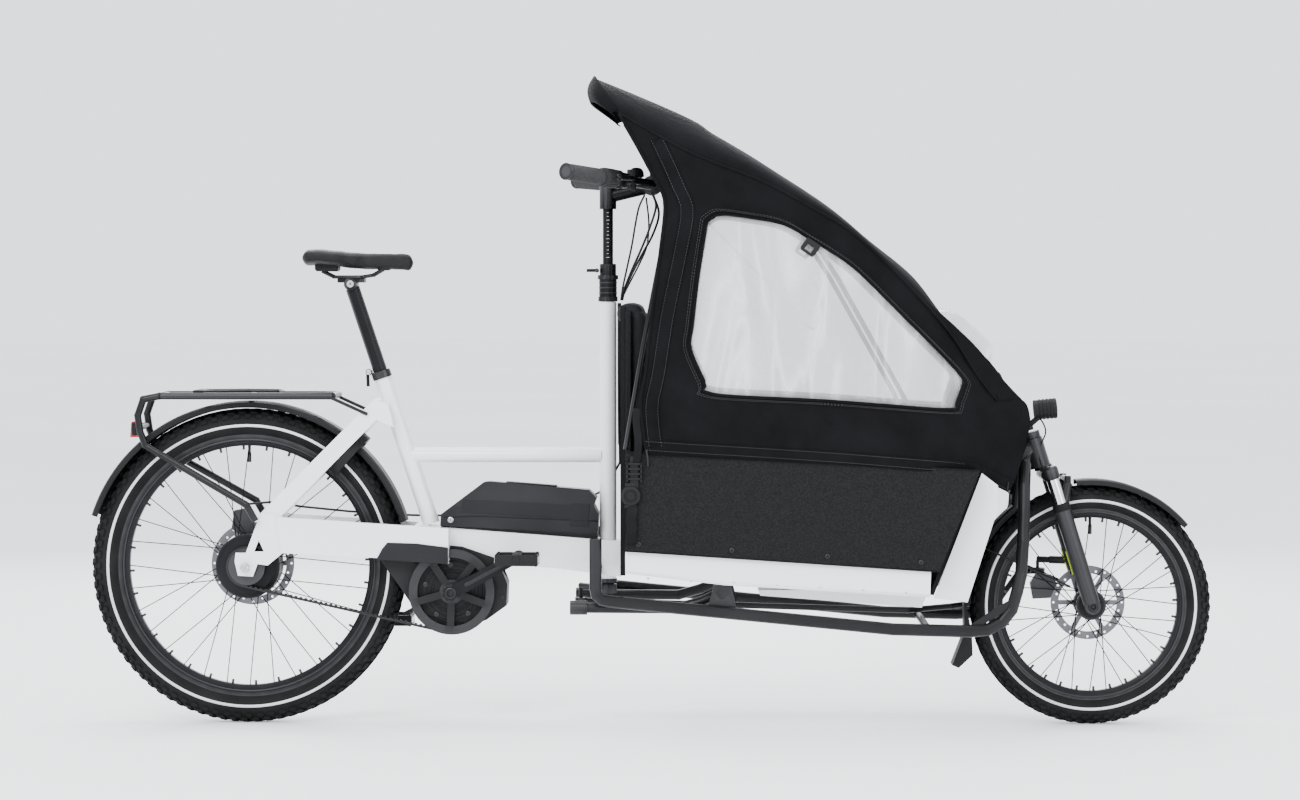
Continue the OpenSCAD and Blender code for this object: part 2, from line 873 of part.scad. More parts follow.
// A ring on the left half of the bar, from s0 to s1 along it
module sleeve(s0, s1, r) {
    along(bar_bend, bar_dir)
        difference() {
            translate([0, 0, s0])
                cylinder(r = r, h = s1 - s0);
            translate([0, 0, s0 - 1])
                cylinder(r = bar_r + fit, h = s1 - s0 + 2);
        }
}
module grips() color("#3a3a3a") {
    both()
        sleeve(178, bar_len, 16);
    sleeve(130, 177, 16.5);
    both()
        along(bar_bend, bar_dir)
            translate([0, 0, bar_len])
                cylinder(r = 17, h = 6);
}
module shifter_grip() color("#2d2d2d")
    mirror([0, 1, 0])
        sleeve(130, 177, 19);

lever_s = 102;
module bar_controls() color("#181818") {
    both() {
        sleeve(88, 118, 15.5);
        // lever perch
        along(bar_bend, bar_dir)
            difference() {
                translate([-9, -42, 90])
                    cube([18, 29, 26]);
                translate([-5.5, -50, 84])
                    cube([11, 28.5, 38]);
                translate([-20, -30, lever_s])
                    rotate([0, 90, 0])
                        cylinder(r = 2.5 + fit, h = 40);
            }
    }
    // shifter housing
    mirror([0, 1, 0]) {
        sleeve(119, 129, 20);
    }
    // display above the stem clamp
    translate([14, -34, 1181])
        rotate([0, 20, 0])
            cube([8, 68, 40]);
    translate([0, -12, 1179.3])
        cube([16, 24, 6]);
    // bell on the left half
    along(bar_bend, bar_dir)
        translate([-34, 0, 70])
            rotate([0, 90, 0])
                cylinder(r = 17, h = 14);
}
module lever_blade()
    along(bar_bend, bar_dir) {
        translate([-5, -36, lever_s - 6])
            cube([10, 12, 12]);
        // pivot pin through both ears of the perch
        translate([-9, -30, lever_s])
            rotate([0, 90, 0])
                cylinder(r = 2.5, h = 18);
        rod([0, -31, lever_s + 1], [0, -46, lever_s + 30], 4.6);
        translate([0, -46, lever_s + 30])
            sphere(r = 5.6);
        rod([0, -46, lever_s + 30], [2, -48, lever_s + 76], 5);
        translate([2, -48, lever_s + 76])
            sphere(r = 6.5);
    }
module brake_lever_left() color("#1c1c1c") lever_blade();
module brake_lever_right() color("#1c1c1c")
    mirror([0, 1, 0])
        lever_blade();

module control_cables() color("#0d0d0d") {
    swept([
        [-10, -96, 1135], [-22, -80, 1110], [-30, -60, 1075], [-38, -42, 1030], [-48, -28, 985],
        [-58, -18, 940],
        [-62, -14, 912]
    ], 2);
    swept([
        [6, -90, 1140], [14, -72, 1112], [0, -50, 1066], [-18, -32, 1022], [-38, -17, 978], [-54, -8, 938],
        [-60, -5, 912]
    ], 2.4);
    swept([
        [6, 90, 1140], [18, 72, 1100], [6, 50, 1056], [-16, 32, 1014], [-38, 17, 972], [-54, 8, 936],
        [-60, 5, 912]
    ], 2.4);
    swept([
        [-10, 96, 1135], [-4, 80, 1080], [-8, 60, 1030], [-22, 44, 994], [-40, 30, 958], [-54, 20, 930],
        [-62, 14, 912]
    ], 2);
}

tie_rod_route = [
    [column_x + arm_vec[0], arm_vec[1], 256], [560, 85, 236], [660, 140, 240], [765, 146, 254],
    [806, 116, 318], [843, 85, 323]
];
module tie_rod() color("#121212") difference() {
    union() {
        pipe(tie_rod_route, 6.5);
        translate([843, 85, 317])
            cylinder(r = 16, h = 12);
        translate([column_x, 0, 249] + arm_vec)
            cylinder(r = 13, h = 14);
    }
    // wide eye that the ball stud moves about in
    translate([843, 85, 300])
        cylinder(r = 12.2, h = 60);
    translate([column_x, 0, 230] + arm_vec)
        cylinder(r = 4 + fit, h = 60);
}

module kickstand() color("#121212") {
    rod([155, -188, 297], [155, 188, 297], 12);
    both() {
        pipe([[155, 163, 297], [110, 163, 276], [60, 163, 262], [-130, 163, 263]], 11);
        rod([-130, 163, 263], [-166, 163, 263], 15);
    }
}

main_beam();
seatstays();
seat_tube();
top_tube();
steering_tube();
head_tube();
side_tubes();
box_tray();
box_panels();
bench_cushions();
canopy();
canopy_windows();
canopy_poles();
side_straps();
battery();
motor();
motor_covers();
rear_rack();
tail_light();
rear_fender();
ring_lock();
drive_belt();
rear_caliper();
frame_hardware();
frame_cables();
seatpost();
saddle();
seat_lever();
crankset();
belt_ring();
pedal_right();
pedal_left();
rear_tyre();
rear_rim();
rear_hub();
rear_spokes();
rear_rotor();
rear_sprocket();
front_tyre();
front_rim();
front_hub();
front_spokes();
front_rotor();
fork_upper();
headlight();
fork_lowers();
front_fender();
front_caliper();
tie_rod();
steering_column();
stem();
handlebar();
grips();
bar_controls();
brake_lever_right();
brake_lever_left();
shifter_grip();
column_lever();
control_cables();
kickstand();
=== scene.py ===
"""A front-loading cargo bicycle with a child canopy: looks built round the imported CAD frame."""

from math import acos, atan2, copysign, cos, exp, pi, radians, sin, sqrt, tau

import bmesh
import bpy
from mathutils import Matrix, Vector, noise


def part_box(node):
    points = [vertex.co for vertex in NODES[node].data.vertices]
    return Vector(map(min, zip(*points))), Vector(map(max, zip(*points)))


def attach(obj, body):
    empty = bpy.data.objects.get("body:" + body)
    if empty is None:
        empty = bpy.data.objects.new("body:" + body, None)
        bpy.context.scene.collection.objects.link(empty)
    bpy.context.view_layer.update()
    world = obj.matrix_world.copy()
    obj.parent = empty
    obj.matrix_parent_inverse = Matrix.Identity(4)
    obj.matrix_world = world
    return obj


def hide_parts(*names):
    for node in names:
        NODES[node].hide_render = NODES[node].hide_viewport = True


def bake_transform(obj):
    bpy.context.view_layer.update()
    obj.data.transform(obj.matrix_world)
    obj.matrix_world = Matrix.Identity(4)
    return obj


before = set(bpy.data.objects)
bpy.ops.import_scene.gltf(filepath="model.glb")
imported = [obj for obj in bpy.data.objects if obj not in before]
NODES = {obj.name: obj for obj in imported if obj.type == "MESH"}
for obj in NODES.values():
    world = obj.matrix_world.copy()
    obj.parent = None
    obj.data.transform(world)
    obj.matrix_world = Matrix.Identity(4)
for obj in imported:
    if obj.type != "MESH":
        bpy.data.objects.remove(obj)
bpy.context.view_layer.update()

SIDES = ((-1, "right"), (1, "left"))
MM = 0.001


# ---------- materials ----------

def new_material(name, base, rough, metal=0.0, **sockets):
    """A principled material. Values in sockets are set straight on the shader."""
    m = bpy.data.materials.new(name)
    m.use_nodes = True
    bsdf = m.node_tree.nodes["Principled BSDF"]
    bsdf.inputs["Base Color"].default_value = (*base, 1)
    bsdf.inputs["Roughness"].default_value = rough
    bsdf.inputs["Metallic"].default_value = metal
    for key, value in sockets.items():
        bsdf.inputs[key.replace("_", " ")].default_value = value
    return m, m.node_tree, bsdf


def coords(tree, scale=(1, 1, 1), turn=(0, 0, 0)):
    """Object coordinates, stretched and turned."""
    at = tree.nodes.new("ShaderNodeTexCoord")
    mapping = tree.nodes.new("ShaderNodeMapping")
    mapping.inputs["Scale"].default_value = scale
    mapping.inputs["Rotation"].default_value = turn
    tree.links.new(at.outputs["Object"], mapping.inputs["Vector"])
    return mapping.outputs["Vector"]


def texture(tree, kind, at, output="Fac", **values):
    """The output of a texture node that reads its place from at."""
    n = tree.nodes.new("ShaderNodeTex" + kind)
    for key, value in values.items():
        n.inputs[key].default_value = value
    tree.links.new(at, n.inputs["Vector"])
    return n.outputs[output]


def ramp(tree, source, stops):
    """A colour ramp over source. stops: (place, colour) pairs."""
    r = tree.nodes.new("ShaderNodeValToRGB")
    ends = r.color_ramp.elements
    for end, (place, colour) in ((ends[0], stops[0]), (ends[1], stops[-1])):
        end.position, end.color = place, (*colour, 1)
    for place, colour in stops[1:-1]:
        ends.new(place).color = (*colour, 1)
    tree.links.new(source, r.inputs["Fac"])
    return r.outputs["Color"]


def drift(tree, bsdf, source, stops, low, high):
    """Colour that follows source by stops, and roughness that follows it from low to high."""
    m = tree.nodes.new("ShaderNodeMapRange")
    m.inputs["To Min"].default_value, m.inputs["To Max"].default_value = low, high
    tree.links.new(source, m.inputs["Value"])
    tree.links.new(ramp(tree, source, stops), bsdf.inputs["Base Color"])
    tree.links.new(m.outputs["Result"], bsdf.inputs["Roughness"])


def bump(tree, bsdf, height, strength, distance, under=None):
    """Relief by height, laid over the relief under it."""
    b = tree.nodes.new("ShaderNodeBump")
    b.inputs["Strength"].default_value = strength
    b.inputs["Distance"].default_value = distance
    tree.links.new(height, b.inputs["Height"])
    if under:
        tree.links.new(under, b.inputs["Normal"])
    tree.links.new(b.outputs["Normal"], bsdf.inputs["Normal"])
    return b.outputs["Normal"]


def grained(name, dark, light, rough, grain=900, big=6, depth=0.00015, strength=0.35, metal=0.0, **sockets):
    """Moulded or painted surface: broad colour drift, fine grain and uneven gloss."""
    m, tree, bsdf = new_material(name, light, rough, metal, **sockets)
    at = coords(tree)
    broad = texture(tree, "Noise", at, Scale=big, Detail=4.0)
    fine = texture(tree, "Noise", at, Scale=grain, Detail=2.0)
    drift(tree, bsdf, broad, [(0.3, dark), (0.7, light)], rough - 0.08, rough + 0.08)
    bump(tree, bsdf, fine, strength, depth)
    return m


def edge_worn(m, wear, amount=0.5):
    """Lightens a material where its edges are worn, from the mesh's pointiness."""
    tree = m.node_tree
    bsdf = tree.nodes["Principled BSDF"]
    geo = tree.nodes.new("ShaderNodeNewGeometry")
    mask = ramp(tree, geo.outputs["Pointiness"], [(0.53, (0, 0, 0)), (0.62, (amount,) * 3)])
    mix = tree.nodes.new("ShaderNodeMix")
    mix.data_type = "RGBA"
    # sockets 0, 6 and 7 are the factor and the two colours, output 2 is the mixed colour
    tree.links.new(mask, mix.inputs[0])
    tree.links.new(bsdf.inputs["Base Color"].links[0].from_socket, mix.inputs[6])
    mix.inputs[7].default_value = (*wear, 1)
    tree.links.new(mix.outputs[2], bsdf.inputs["Base Color"])
    return m


def woven(name, dark, light, rough, count=700, depth=0.0004, sheen=0.35, crease=0.0):
    """Plain weave cloth: two crossed thread waves, colour drift and optional soft creases."""
    m, tree, bsdf = new_material(name, light, rough, Sheen_Weight=sheen, Sheen_Roughness=0.45,
                                 Specular_IOR_Level=0.12)
    at = coords(tree)
    weave = tree.nodes.new("ShaderNodeMath")
    weave.operation = "MAXIMUM"
    for k, turn in enumerate(((0, 0, 0), (0, radians(90), 0))):
        wave = texture(tree, "Wave", coords(tree, turn=turn), Scale=count / 6.28, Distortion=0.6, Detail=1.0)
        tree.links.new(wave, weave.inputs[k])
    broad = texture(tree, "Noise", at, Scale=9.0, Detail=6.0, Roughness=0.6)
    drift(tree, bsdf, broad, [(0.3, dark), (0.72, light)], rough - 0.06, rough + 0.06)
    under = None
    if crease:
        fold = texture(tree, "Noise", at, Scale=5.0, Detail=3.0, Distortion=1.2)
        under = bump(tree, bsdf, fold, crease, 0.02)
    bump(tree, bsdf, weave.outputs["Value"], 0.4, depth, under)
    return m


def brushed(name, base, rough=0.28, stretch=(1, 1, 40)):
    """Ground or brushed metal with fine streaks."""
    m, tree, bsdf = new_material(name, base, rough, 1.0)
    streak = texture(tree, "Noise", coords(tree, stretch), Scale=60.0, Detail=6.0)
    low = tuple(c * 0.75 for c in base)
    drift(tree, bsdf, streak, [(0.3, low), (0.7, base)], rough - 0.08, rough + 0.12)
    bump(tree, bsdf, streak, 0.15, 0.0001)
    return m


def speckled(name, dark, light, rough):
    """Box panel laminate: coarse leathery speckle."""
    m, tree, bsdf = new_material(name, dark, rough, Specular_IOR_Level=0.25)
    at = coords(tree)
    cell = texture(tree, "Voronoi", at, "Distance", Scale=230.0)
    soft = texture(tree, "Noise", at, Scale=420.0, Detail=3.0)
    drift(tree, bsdf, soft, [(0.42, dark), (0.62, light)], rough - 0.1, rough + 0.1)
    bump(tree, bsdf, cell, 0.5, 0.0008)
    return m


def clear(name, tint, rough, alpha, ripple):
    """Clear plastic film with soft ripples that catch the light, and painted highlights in slanted bright
    streaks.
    """
    m, tree, bsdf = new_material(name, tint, rough, Alpha=alpha, IOR=1.45, Specular_IOR_Level=0.8)
    wave = texture(tree, "Noise", coords(tree), Scale=3.2, Detail=2.0, Distortion=1.4)
    # painted highlight: the white stop of the ramp below paints slanted bright streaks into the film's colour,
    # in place of reflections along its creases
    slanted = coords(tree, scale=(3.2, 1, 0.7), turn=(0, radians(38), 0))
    streak = texture(tree, "Noise", slanted, Scale=4.0, Detail=2.0, Distortion=0.8)
    shade, half = tuple(c * 0.70 for c in tint), tuple(c * 0.80 for c in tint)
    drift(tree, bsdf, streak, [(0.36, shade), (0.52, half), (0.58, (1.0, 1.0, 1.0)), (0.66, shade)],
          rough, rough + 0.08)
    bump(tree, bsdf, wave, 0.6, ripple)
    return m


WHITE = grained("white_paint", (0.80, 0.81, 0.82), (0.86, 0.865, 0.87), 0.30, grain=500, big=3, depth=0.00005,
                Coat_Weight=0.5, Coat_Roughness=0.18)
BLACK_PAINT = edge_worn(grained("black_paint", (0.010, 0.010, 0.011), (0.016, 0.016, 0.017), 0.32, big=8,
                        Specular_IOR_Level=0.3, Coat_Weight=0.12, Coat_Roughness=0.22), (0.06, 0.06, 0.064))
ANODISED = edge_worn(grained("black_anodised", (0.014, 0.014, 0.015), (0.026, 0.026, 0.028), 0.36, metal=0.6,
                     grain=1400, Specular_IOR_Level=0.3), (0.12, 0.12, 0.125))
PLASTIC = grained("moulded_plastic", (0.012, 0.012, 0.013), (0.018, 0.018, 0.019), 0.5, grain=1100,
                  depth=0.0003, strength=0.5, Specular_IOR_Level=0.28)
CASE = grained("battery_plastic", (0.016, 0.016, 0.018), (0.028, 0.028, 0.031), 0.42, grain=1500,
               depth=0.0002, strength=0.4, Specular_IOR_Level=0.3)
COVER = grained("motor_plastic", (0.014, 0.014, 0.015), (0.022, 0.022, 0.024), 0.46, grain=1300,
                Specular_IOR_Level=0.3)
PANEL = speckled("box_laminate", (0.005, 0.005, 0.006), (0.016, 0.016, 0.0175), 0.62)
RUBBER = grained("tyre_rubber", (0.010, 0.010, 0.010), (0.020, 0.020, 0.021), 0.72, grain=260, big=18,
                 depth=0.0005, strength=0.5, Specular_IOR_Level=0.25)
GRIP = grained("grip_rubber", (0.030, 0.030, 0.031), (0.052, 0.052, 0.054), 0.62, grain=700, depth=0.0006,
               strength=0.6)
BELT = grained("belt_rubber", (0.012, 0.012, 0.012), (0.026, 0.026, 0.027), 0.66, grain=500)
HOSE = grained("hose_rubber", (0.008, 0.008, 0.009), (0.018, 0.018, 0.019), 0.4, grain=900)
CANOPY = woven("canopy_cloth", (0.006, 0.006, 0.007), (0.013, 0.013, 0.0145), 0.78, count=1500, depth=0.0003,
               sheen=0.01, crease=0.45)
WEB = woven("webbing", (0.008, 0.008, 0.009), (0.020, 0.020, 0.021), 0.7, count=1800, depth=0.0005, sheen=0.04)
CUSHION = woven("cushion_cloth", (0.018, 0.018, 0.020), (0.040, 0.040, 0.044), 0.8, count=1300, depth=0.0005,
                sheen=0.08)
SADDLE = grained("saddle_leather", (0.010, 0.010, 0.010), (0.018, 0.018, 0.019), 0.5, grain=520, depth=0.0004,
                 strength=0.6, Specular_IOR_Level=0.3)
STEEL = brushed("ground_steel", (0.62, 0.62, 0.64))
ROTOR = brushed("rotor_steel", (0.20, 0.20, 0.21), 0.34)
CHROME = brushed("stanchion_chrome", (0.80, 0.80, 0.82), 0.12, (1, 1, 8))
SPOKE = brushed("spoke_steel", (0.022, 0.022, 0.024), 0.45)
STRIPE = grained("reflex_stripe", (0.55, 0.56, 0.57), (0.74, 0.75, 0.76), 0.34, grain=2200)
RED = grained("red_lens", (0.30, 0.004, 0.004), (0.50, 0.010, 0.010), 0.18, grain=300, Coat_Weight=1.0,
              Coat_Roughness=0.05)
AMBER = grained("pedal_reflector", (0.50, 0.48, 0.44), (0.66, 0.63, 0.58), 0.25, grain=900)
LENS = grained("headlight_lens", (0.62, 0.64, 0.66), (0.85, 0.87, 0.9), 0.10, grain=260, Coat_Weight=1.0,
               Coat_Roughness=0.03)
FILM = clear("clear_film", (0.90, 0.92, 0.93), 0.08, 0.27, 0.03)
LIME = grained("lime_trim", (0.42, 0.55, 0.02), (0.55, 0.70, 0.04), 0.4)
THREAD = grained("stitch_thread", (0.05, 0.05, 0.055), (0.09, 0.09, 0.095), 0.8)
GLASS_BLACK = grained("display_glass", (0.006, 0.006, 0.007), (0.011, 0.011, 0.012), 0.08, grain=60,
                      strength=0.02, Coat_Weight=1.0, Coat_Roughness=0.03)

LOOKS = {
    WHITE: "main_beam seatstays seat_tube top_tube steering_tube box_tray",
    BLACK_PAINT: "head_tube side_tubes rear_rack kickstand tie_rod fork_lowers frame_hardware belt_ring",
    ANODISED: "stem steering_column handlebar seatpost crankset rear_sprocket rear_hub front_hub "
              "rear_rim front_rim rear_caliper front_caliper brake_lever_right brake_lever_left column_lever "
              "seat_lever canopy_poles fork_upper",
    PLASTIC: "rear_fender front_fender ring_lock bar_controls headlight pedal_right pedal_left",
    CASE: "battery",
    COVER: "motor motor_covers",
    PANEL: "box_panels",
    RUBBER: "rear_tyre front_tyre",
    GRIP: "grips shifter_grip",
    BELT: "drive_belt",
    HOSE: "frame_cables control_cables",
    ROTOR: "rear_rotor front_rotor",
    SPOKE: "rear_spokes front_spokes",
    RED: "tail_light",
    CANOPY: "canopy",
    WEB: "side_straps",
    FILM: "canopy_windows",
    CUSHION: "bench_cushions",
    SADDLE: "saddle",
}
for material, names in LOOKS.items():
    for name in names.split():
        shown = NODES[name]
        shown.data.materials.clear()
        shown.data.materials.append(material)


# ---------- mesh helpers ----------

def plain_object(bm, name, material=None, smooth=False):
    """Turns a bmesh into an object that rides on nothing yet."""
    bmesh.ops.recalc_face_normals(bm, faces=bm.faces)
    mesh = bpy.data.meshes.new(name)
    bm.to_mesh(mesh)
    bm.free()
    obj = bpy.data.objects.new(name, mesh)
    bpy.context.scene.collection.objects.link(obj)
    if material:
        mesh.materials.append(material)
    for face in mesh.polygons:
        face.use_smooth = smooth
    return obj


def to_object(bm, name, material, body, smooth=True):
    """Turns a bmesh into a piece that rides on a body."""
    obj = plain_object(bm, name, material, smooth)
    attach(obj, body)
    return obj


def modify(obj, kind, **values):
    """Adds a modifier and applies it."""
    m = obj.modifiers.new(kind.lower(), kind)
    for key, value in values.items():
        setattr(m, key, value)
    bpy.context.view_layer.objects.active = obj
    for other in bpy.context.selected_objects:
        other.select_set(False)
    obj.select_set(True)
    bpy.ops.object.modifier_apply(modifier=m.name)


def join_grid(bm, rows):
    """Faces between neighbouring rows of vertices."""
    for a, b in zip(rows, rows[1:]):
        for k in range(len(a) - 1):
            bm.faces.new((a[k], a[k + 1], b[k + 1], b[k]))


def join_rings(bm, rings, capped=True):
    """Faces between neighbouring closed rings of vertices, and over both ends."""
    for a, b in zip(rings, rings[1:]):
        for k in range(len(a)):
            j = (k + 1) % len(a)
            bm.faces.new((a[k], a[j], b[j], b[k]))
    if capped:
        bm.faces.new(rings[0][::-1])
        bm.faces.new(rings[-1])


def add_slab(bm, near, far):
    """A closed slab between two outlines with as many corners each."""
    near, far = [bm.verts.new(p) for p in near], [bm.verts.new(p) for p in far]
    bm.faces.new(near)
    bm.faces.new(far[::-1])
    for i in range(len(near)):
        k = (i + 1) % len(near)
        bm.faces.new((near[i], far[i], far[k], near[k]))


def add_box(bm, centre, size, axes=((1, 0, 0), (0, 1, 0), (0, 0, 1))):
    """A box in a bmesh, along three axes."""
    c, ax = Vector(centre), [Vector(a) for a in axes]
    corners = [bm.verts.new(c + sum((ax[k] * (size[k] / 2 * s[k]) for k in range(3)), Vector()))
               for s in [(x, y, z) for x in (-1, 1) for y in (-1, 1) for z in (-1, 1)]]
    for quad in ((0, 1, 3, 2), (4, 6, 7, 5), (0, 4, 5, 1), (2, 3, 7, 6), (0, 2, 6, 4), (1, 5, 7, 3)):
        bm.faces.new([corners[i] for i in quad])


def directions(pts):
    """The direction of a path at each of its points."""
    return [(pts[min(i + 1, len(pts) - 1)] - pts[max(i - 1, 0)]).normalized() for i in range(len(pts))]


def add_tube(bm, points, radius, sides=10):
    """A round tube along points, closed at both ends."""
    pts = [Vector(p) for p in points]
    rings = []
    for p, t in zip(pts, directions(pts)):
        side = t.cross(Vector((0, 1, 0)) if abs(t.y) < 0.9 else Vector((1, 0, 0))).normalized()
        up = side.cross(t)
        rings.append([bm.verts.new(p + radius * (cos(a) * side + sin(a) * up))
                      for a in (tau * k / sides for k in range(sides))])
    join_rings(bm, rings)


def add_ring(bm, centre, axis, profile, steps):
    """Turns a closed profile of (radius, along) pairs about an axis through centre."""
    c, z = Vector(centre), Vector(axis).normalized()
    x = z.orthogonal().normalized() if abs(z.y) < 0.99 else Vector((1, 0, 0))
    y = z.cross(x)
    rings = []
    for i in range(steps):
        a = tau * i / steps
        out = cos(a) * x + sin(a) * y
        rings.append([bm.verts.new(c + out * r + z * w) for r, w in profile])
    join_rings(bm, rings + rings[:1], capped=False)


def spline(p0, p1, p2, p3, t):
    """A point between p1 and p2 on a smooth curve through four points (Catmull-Rom)."""
    return 0.5 * (2 * p1 + (p2 - p0) * t + (2 * p0 - 5 * p1 + 4 * p2 - p3) * t * t
                  + (3 * p1 - p0 - 3 * p2 + p3) * t ** 3)


def smooth3(points, per=8):
    """Points along a smooth curve through the given 3-D points."""
    p = [Vector(q) for q in points]
    p = [p[0] * 2 - p[1]] + p + [p[-1] * 2 - p[-2]]
    return [spline(*p[i - 1:i + 3], k / per) for i in range(1, len(p) - 2) for k in range(per)] + [p[-2]]


def tube_piece(name, points, radius, material, body, sides=10, smooth=True):
    """A round tube as a piece of its own, on a smooth curve unless smooth is False."""
    bm = bmesh.new()
    add_tube(bm, smooth3(points) if len(points) > 2 and smooth else points, radius, sides)
    return to_object(bm, name, material, body)


def turned(name, centre, axis, profile, material, body, steps=48):
    """A piece turned about an axis from a profile in millimetres, with crisp edges kept crisp."""
    bm = bmesh.new()
    add_ring(bm, centre, axis, [(r * MM, w * MM) for r, w in profile], steps)
    obj = to_object(bm, name, material, body)
    modify(obj, "EDGE_SPLIT", split_angle=radians(35))
    return obj


def boxes(name, items, material, body, bevel=0.0008):
    """Bevelled boxes in one piece. items: (centre, size) or (centre, size, axes)."""
    bm = bmesh.new()
    for item in items:
        add_box(bm, *item)
    obj = to_object(bm, name, material, body, smooth=False)
    if bevel:
        modify(obj, "BEVEL", width=bevel, segments=2)
    return obj


def tilted(angle):
    """Axes turned by angle about Y, so that the first one points up from +X by angle."""
    c, s = cos(angle), sin(angle)
    return ((c, 0, s), (0, 1, 0), (-s, 0, c))


def radial(angle, reach=1.0, y=0.0):
    """A vector of length reach in the side view, at angle up from +X, and y across."""
    return Vector((reach * cos(angle), y, reach * sin(angle)))


def flip(p, side):
    """A left-hand point, or its mirror image on the right for side −1."""
    return Vector((p[0], p[1] * side, p[2]))


# ---------- camera, floor and light ----------

def placed(name, data, place, target):
    """A camera or a light that looks at target."""
    obj = bpy.data.objects.new(name, data)
    bpy.context.scene.collection.objects.link(obj)
    obj.location = place
    obj.rotation_euler = (Vector(target) - obj.location).to_track_quat("-Z", "Y").to_euler()
    return obj


def soft_light(name, place, target, size, power):
    """A rectangular light."""
    light = bpy.data.lights.new(name, "AREA")
    light.shape, light.size, light.size_y, light.energy = "RECTANGLE", size[0], size[1], power
    placed(name, light, place, target)


CAMERA_BACK, VIEW_WIDTH, SENSOR = 7.4, 2.80, 36
DAYLIGHT = (0.93, 0.95, 1.0, 1)
FLOOR_REACH = 60

camera = placed("camera", bpy.data.cameras.new("camera"), (0.13, -CAMERA_BACK, 0.93), (0.0, 0.0, 0.697))
camera.data.sensor_width = SENSOR
camera.data.lens = SENSOR * CAMERA_BACK / VIEW_WIDTH
bpy.context.scene.camera = camera

world = bpy.data.worlds.new("studio")
bpy.context.scene.world = world
bpy.context.scene.view_settings.look = "AgX - Medium High Contrast"
world.use_nodes = True
world.node_tree.nodes["Background"].inputs["Color"].default_value = DAYLIGHT
world.node_tree.nodes["Background"].inputs["Strength"].default_value = 1.45

soft_light("key", (-1.8, -4.2, 3.6), (0, 0, 0.6), (2.6, 1.6), 135)
soft_light("fill", (3.2, -3.4, 1.8), (0.2, 0, 0.7), (2.0, 2.0), 45)
soft_light("top", (0.2, 0.4, 4.2), (0.1, 0, 0.6), (4.0, 1.6), 80)
soft_light("rim", (-0.5, 4.2, 2.4), (0, 0, 0.8), (4.0, 1.6), 80)

FLOOR = grained("floor_paint", (0.80, 0.80, 0.80), (0.86, 0.86, 0.86), 0.75, grain=40, big=0.4, strength=0.05)
floor_shader = FLOOR.node_tree.nodes["Principled BSDF"]
floor_shader.inputs["Emission Color"].default_value = DAYLIGHT
floor_shader.inputs["Emission Strength"].default_value = 0.19
bm = bmesh.new()
bm.faces.new([bm.verts.new((x * FLOOR_REACH, y * FLOOR_REACH, 0))
              for x, y in ((-1, -1), (1, -1), (1, 1), (-1, 1))])
plain_object(bm, "studio_floor", FLOOR, smooth=True)


# ---------- tyres with their tread, stripes and valves ----------

def tyre(name, node_name, body, width, bead_r, pitches):
    """A tyre with block tread and a reflex stripe on each wall, in place of its CAD ring."""
    low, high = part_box(node_name)
    centre = Vector([(low[i] + high[i]) / 2 for i in range(3)])
    outer = (high[2] - low[2]) / 2
    half, block, walls, steps = width / 2, 0.0035, 15, 144
    crown = outer - block
    across = Vector((0, 1, 0))

    def wall(angle):
        """A point of the tyre's round section, as (radius, across), angle away from its crown."""
        return crown - half + half * 0.98 * cos(angle), half * 0.97 * sin(angle)

    bead = (bead_r - 0.002, 0.0125)
    section = [wall(radians(-118 + 236 * i / walls)) for i in range(walls + 1)]
    profile = [(bead[0], -bead[1])] + section + [bead]
    inner = [(r - 0.003 if abs(w) < half * 0.6 else r, w * 0.86) for r, w in profile[::-1]]
    bm = bmesh.new()
    add_ring(bm, centre, across, profile + inner, steps)
    pitch = tau * outer / pitches
    for i in range(pitches):
        a = tau * i / pitches
        out, along = radial(a), Vector((-sin(a), 0, cos(a)))
        # centre chevron pair, then shoulder blocks that lean outwards
        for s in (-1, 1):
            skew = (along + across * 0.55 * s).normalized()
            flat = (across - along * 0.55 * s).normalized()
            add_box(bm, centre + out * (outer - block) + across * s * half * 0.22 + along * pitch * 0.25 * s,
                    (0.006, pitch * 0.52, half * 0.34), (out, skew, flat))
            for tilt, shift, long in ((32, 0.5, 0.62), (58, 0.0, 0.5)):
                t = radians(tilt)
                normal = out * cos(t) + across * s * sin(t)
                side = across * s * cos(t) - out * sin(t)
                at = out * (crown - half + (half + 0.0002) * cos(t)) + across * s * half * sin(t)
                add_box(bm, centre + at + along * pitch * shift, (0.005, pitch * long, half * 0.30),
                        (normal, along, side))
    obj = to_object(bm, name, RUBBER, body)
    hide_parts(node_name)
    modify(obj, "EDGE_SPLIT", split_angle=radians(38))
    stripe = bmesh.new()
    r0, w0 = wall(radians(96))
    for s in (-1, 1):
        ring = [(r0 - 0.003, s * (w0 - 0.0006)), (r0 + 0.003, s * (w0 + 0.0004)),
                (r0 + 0.003, s * (w0 + 0.0012)), (r0 - 0.003, s * (w0 + 0.0004))]
        add_ring(stripe, centre, across, ring, steps)
    to_object(stripe, name + "_stripe", STRIPE, body)
    return centre


def valve(name, body, centre, rim_r):
    """A valve stem and its cap, hanging from the top of the rim."""
    bm = bmesh.new()
    for heights, radius in (((0.004, -0.018), 0.0031), ((-0.016, -0.034, -0.036), 0.0042)):
        add_tube(bm, [centre + Vector((0, 0, rim_r + z)) for z in heights], radius, 12)
    to_object(bm, name, HOSE, body)


def rim_bands(name, body, centre, r, half, spokes=32):
    """The rim's raised band on each side and its row of spoke nipples."""
    bm = bmesh.new()
    for s in (-1, 1):
        band = [(r, s * half), (r + 0.004, s * (half + 0.0008)), (r + 0.008, s * half)]
        add_ring(bm, centre, (0, 1, 0), band, 120)
    for i in range(spokes):
        out = radial(tau * (i + 0.25) / spokes)
        add_tube(bm, [centre + out * (r - 0.018), centre + out * (r - 0.003)], 0.0026, 8)
    to_object(bm, name, ANODISED, body)


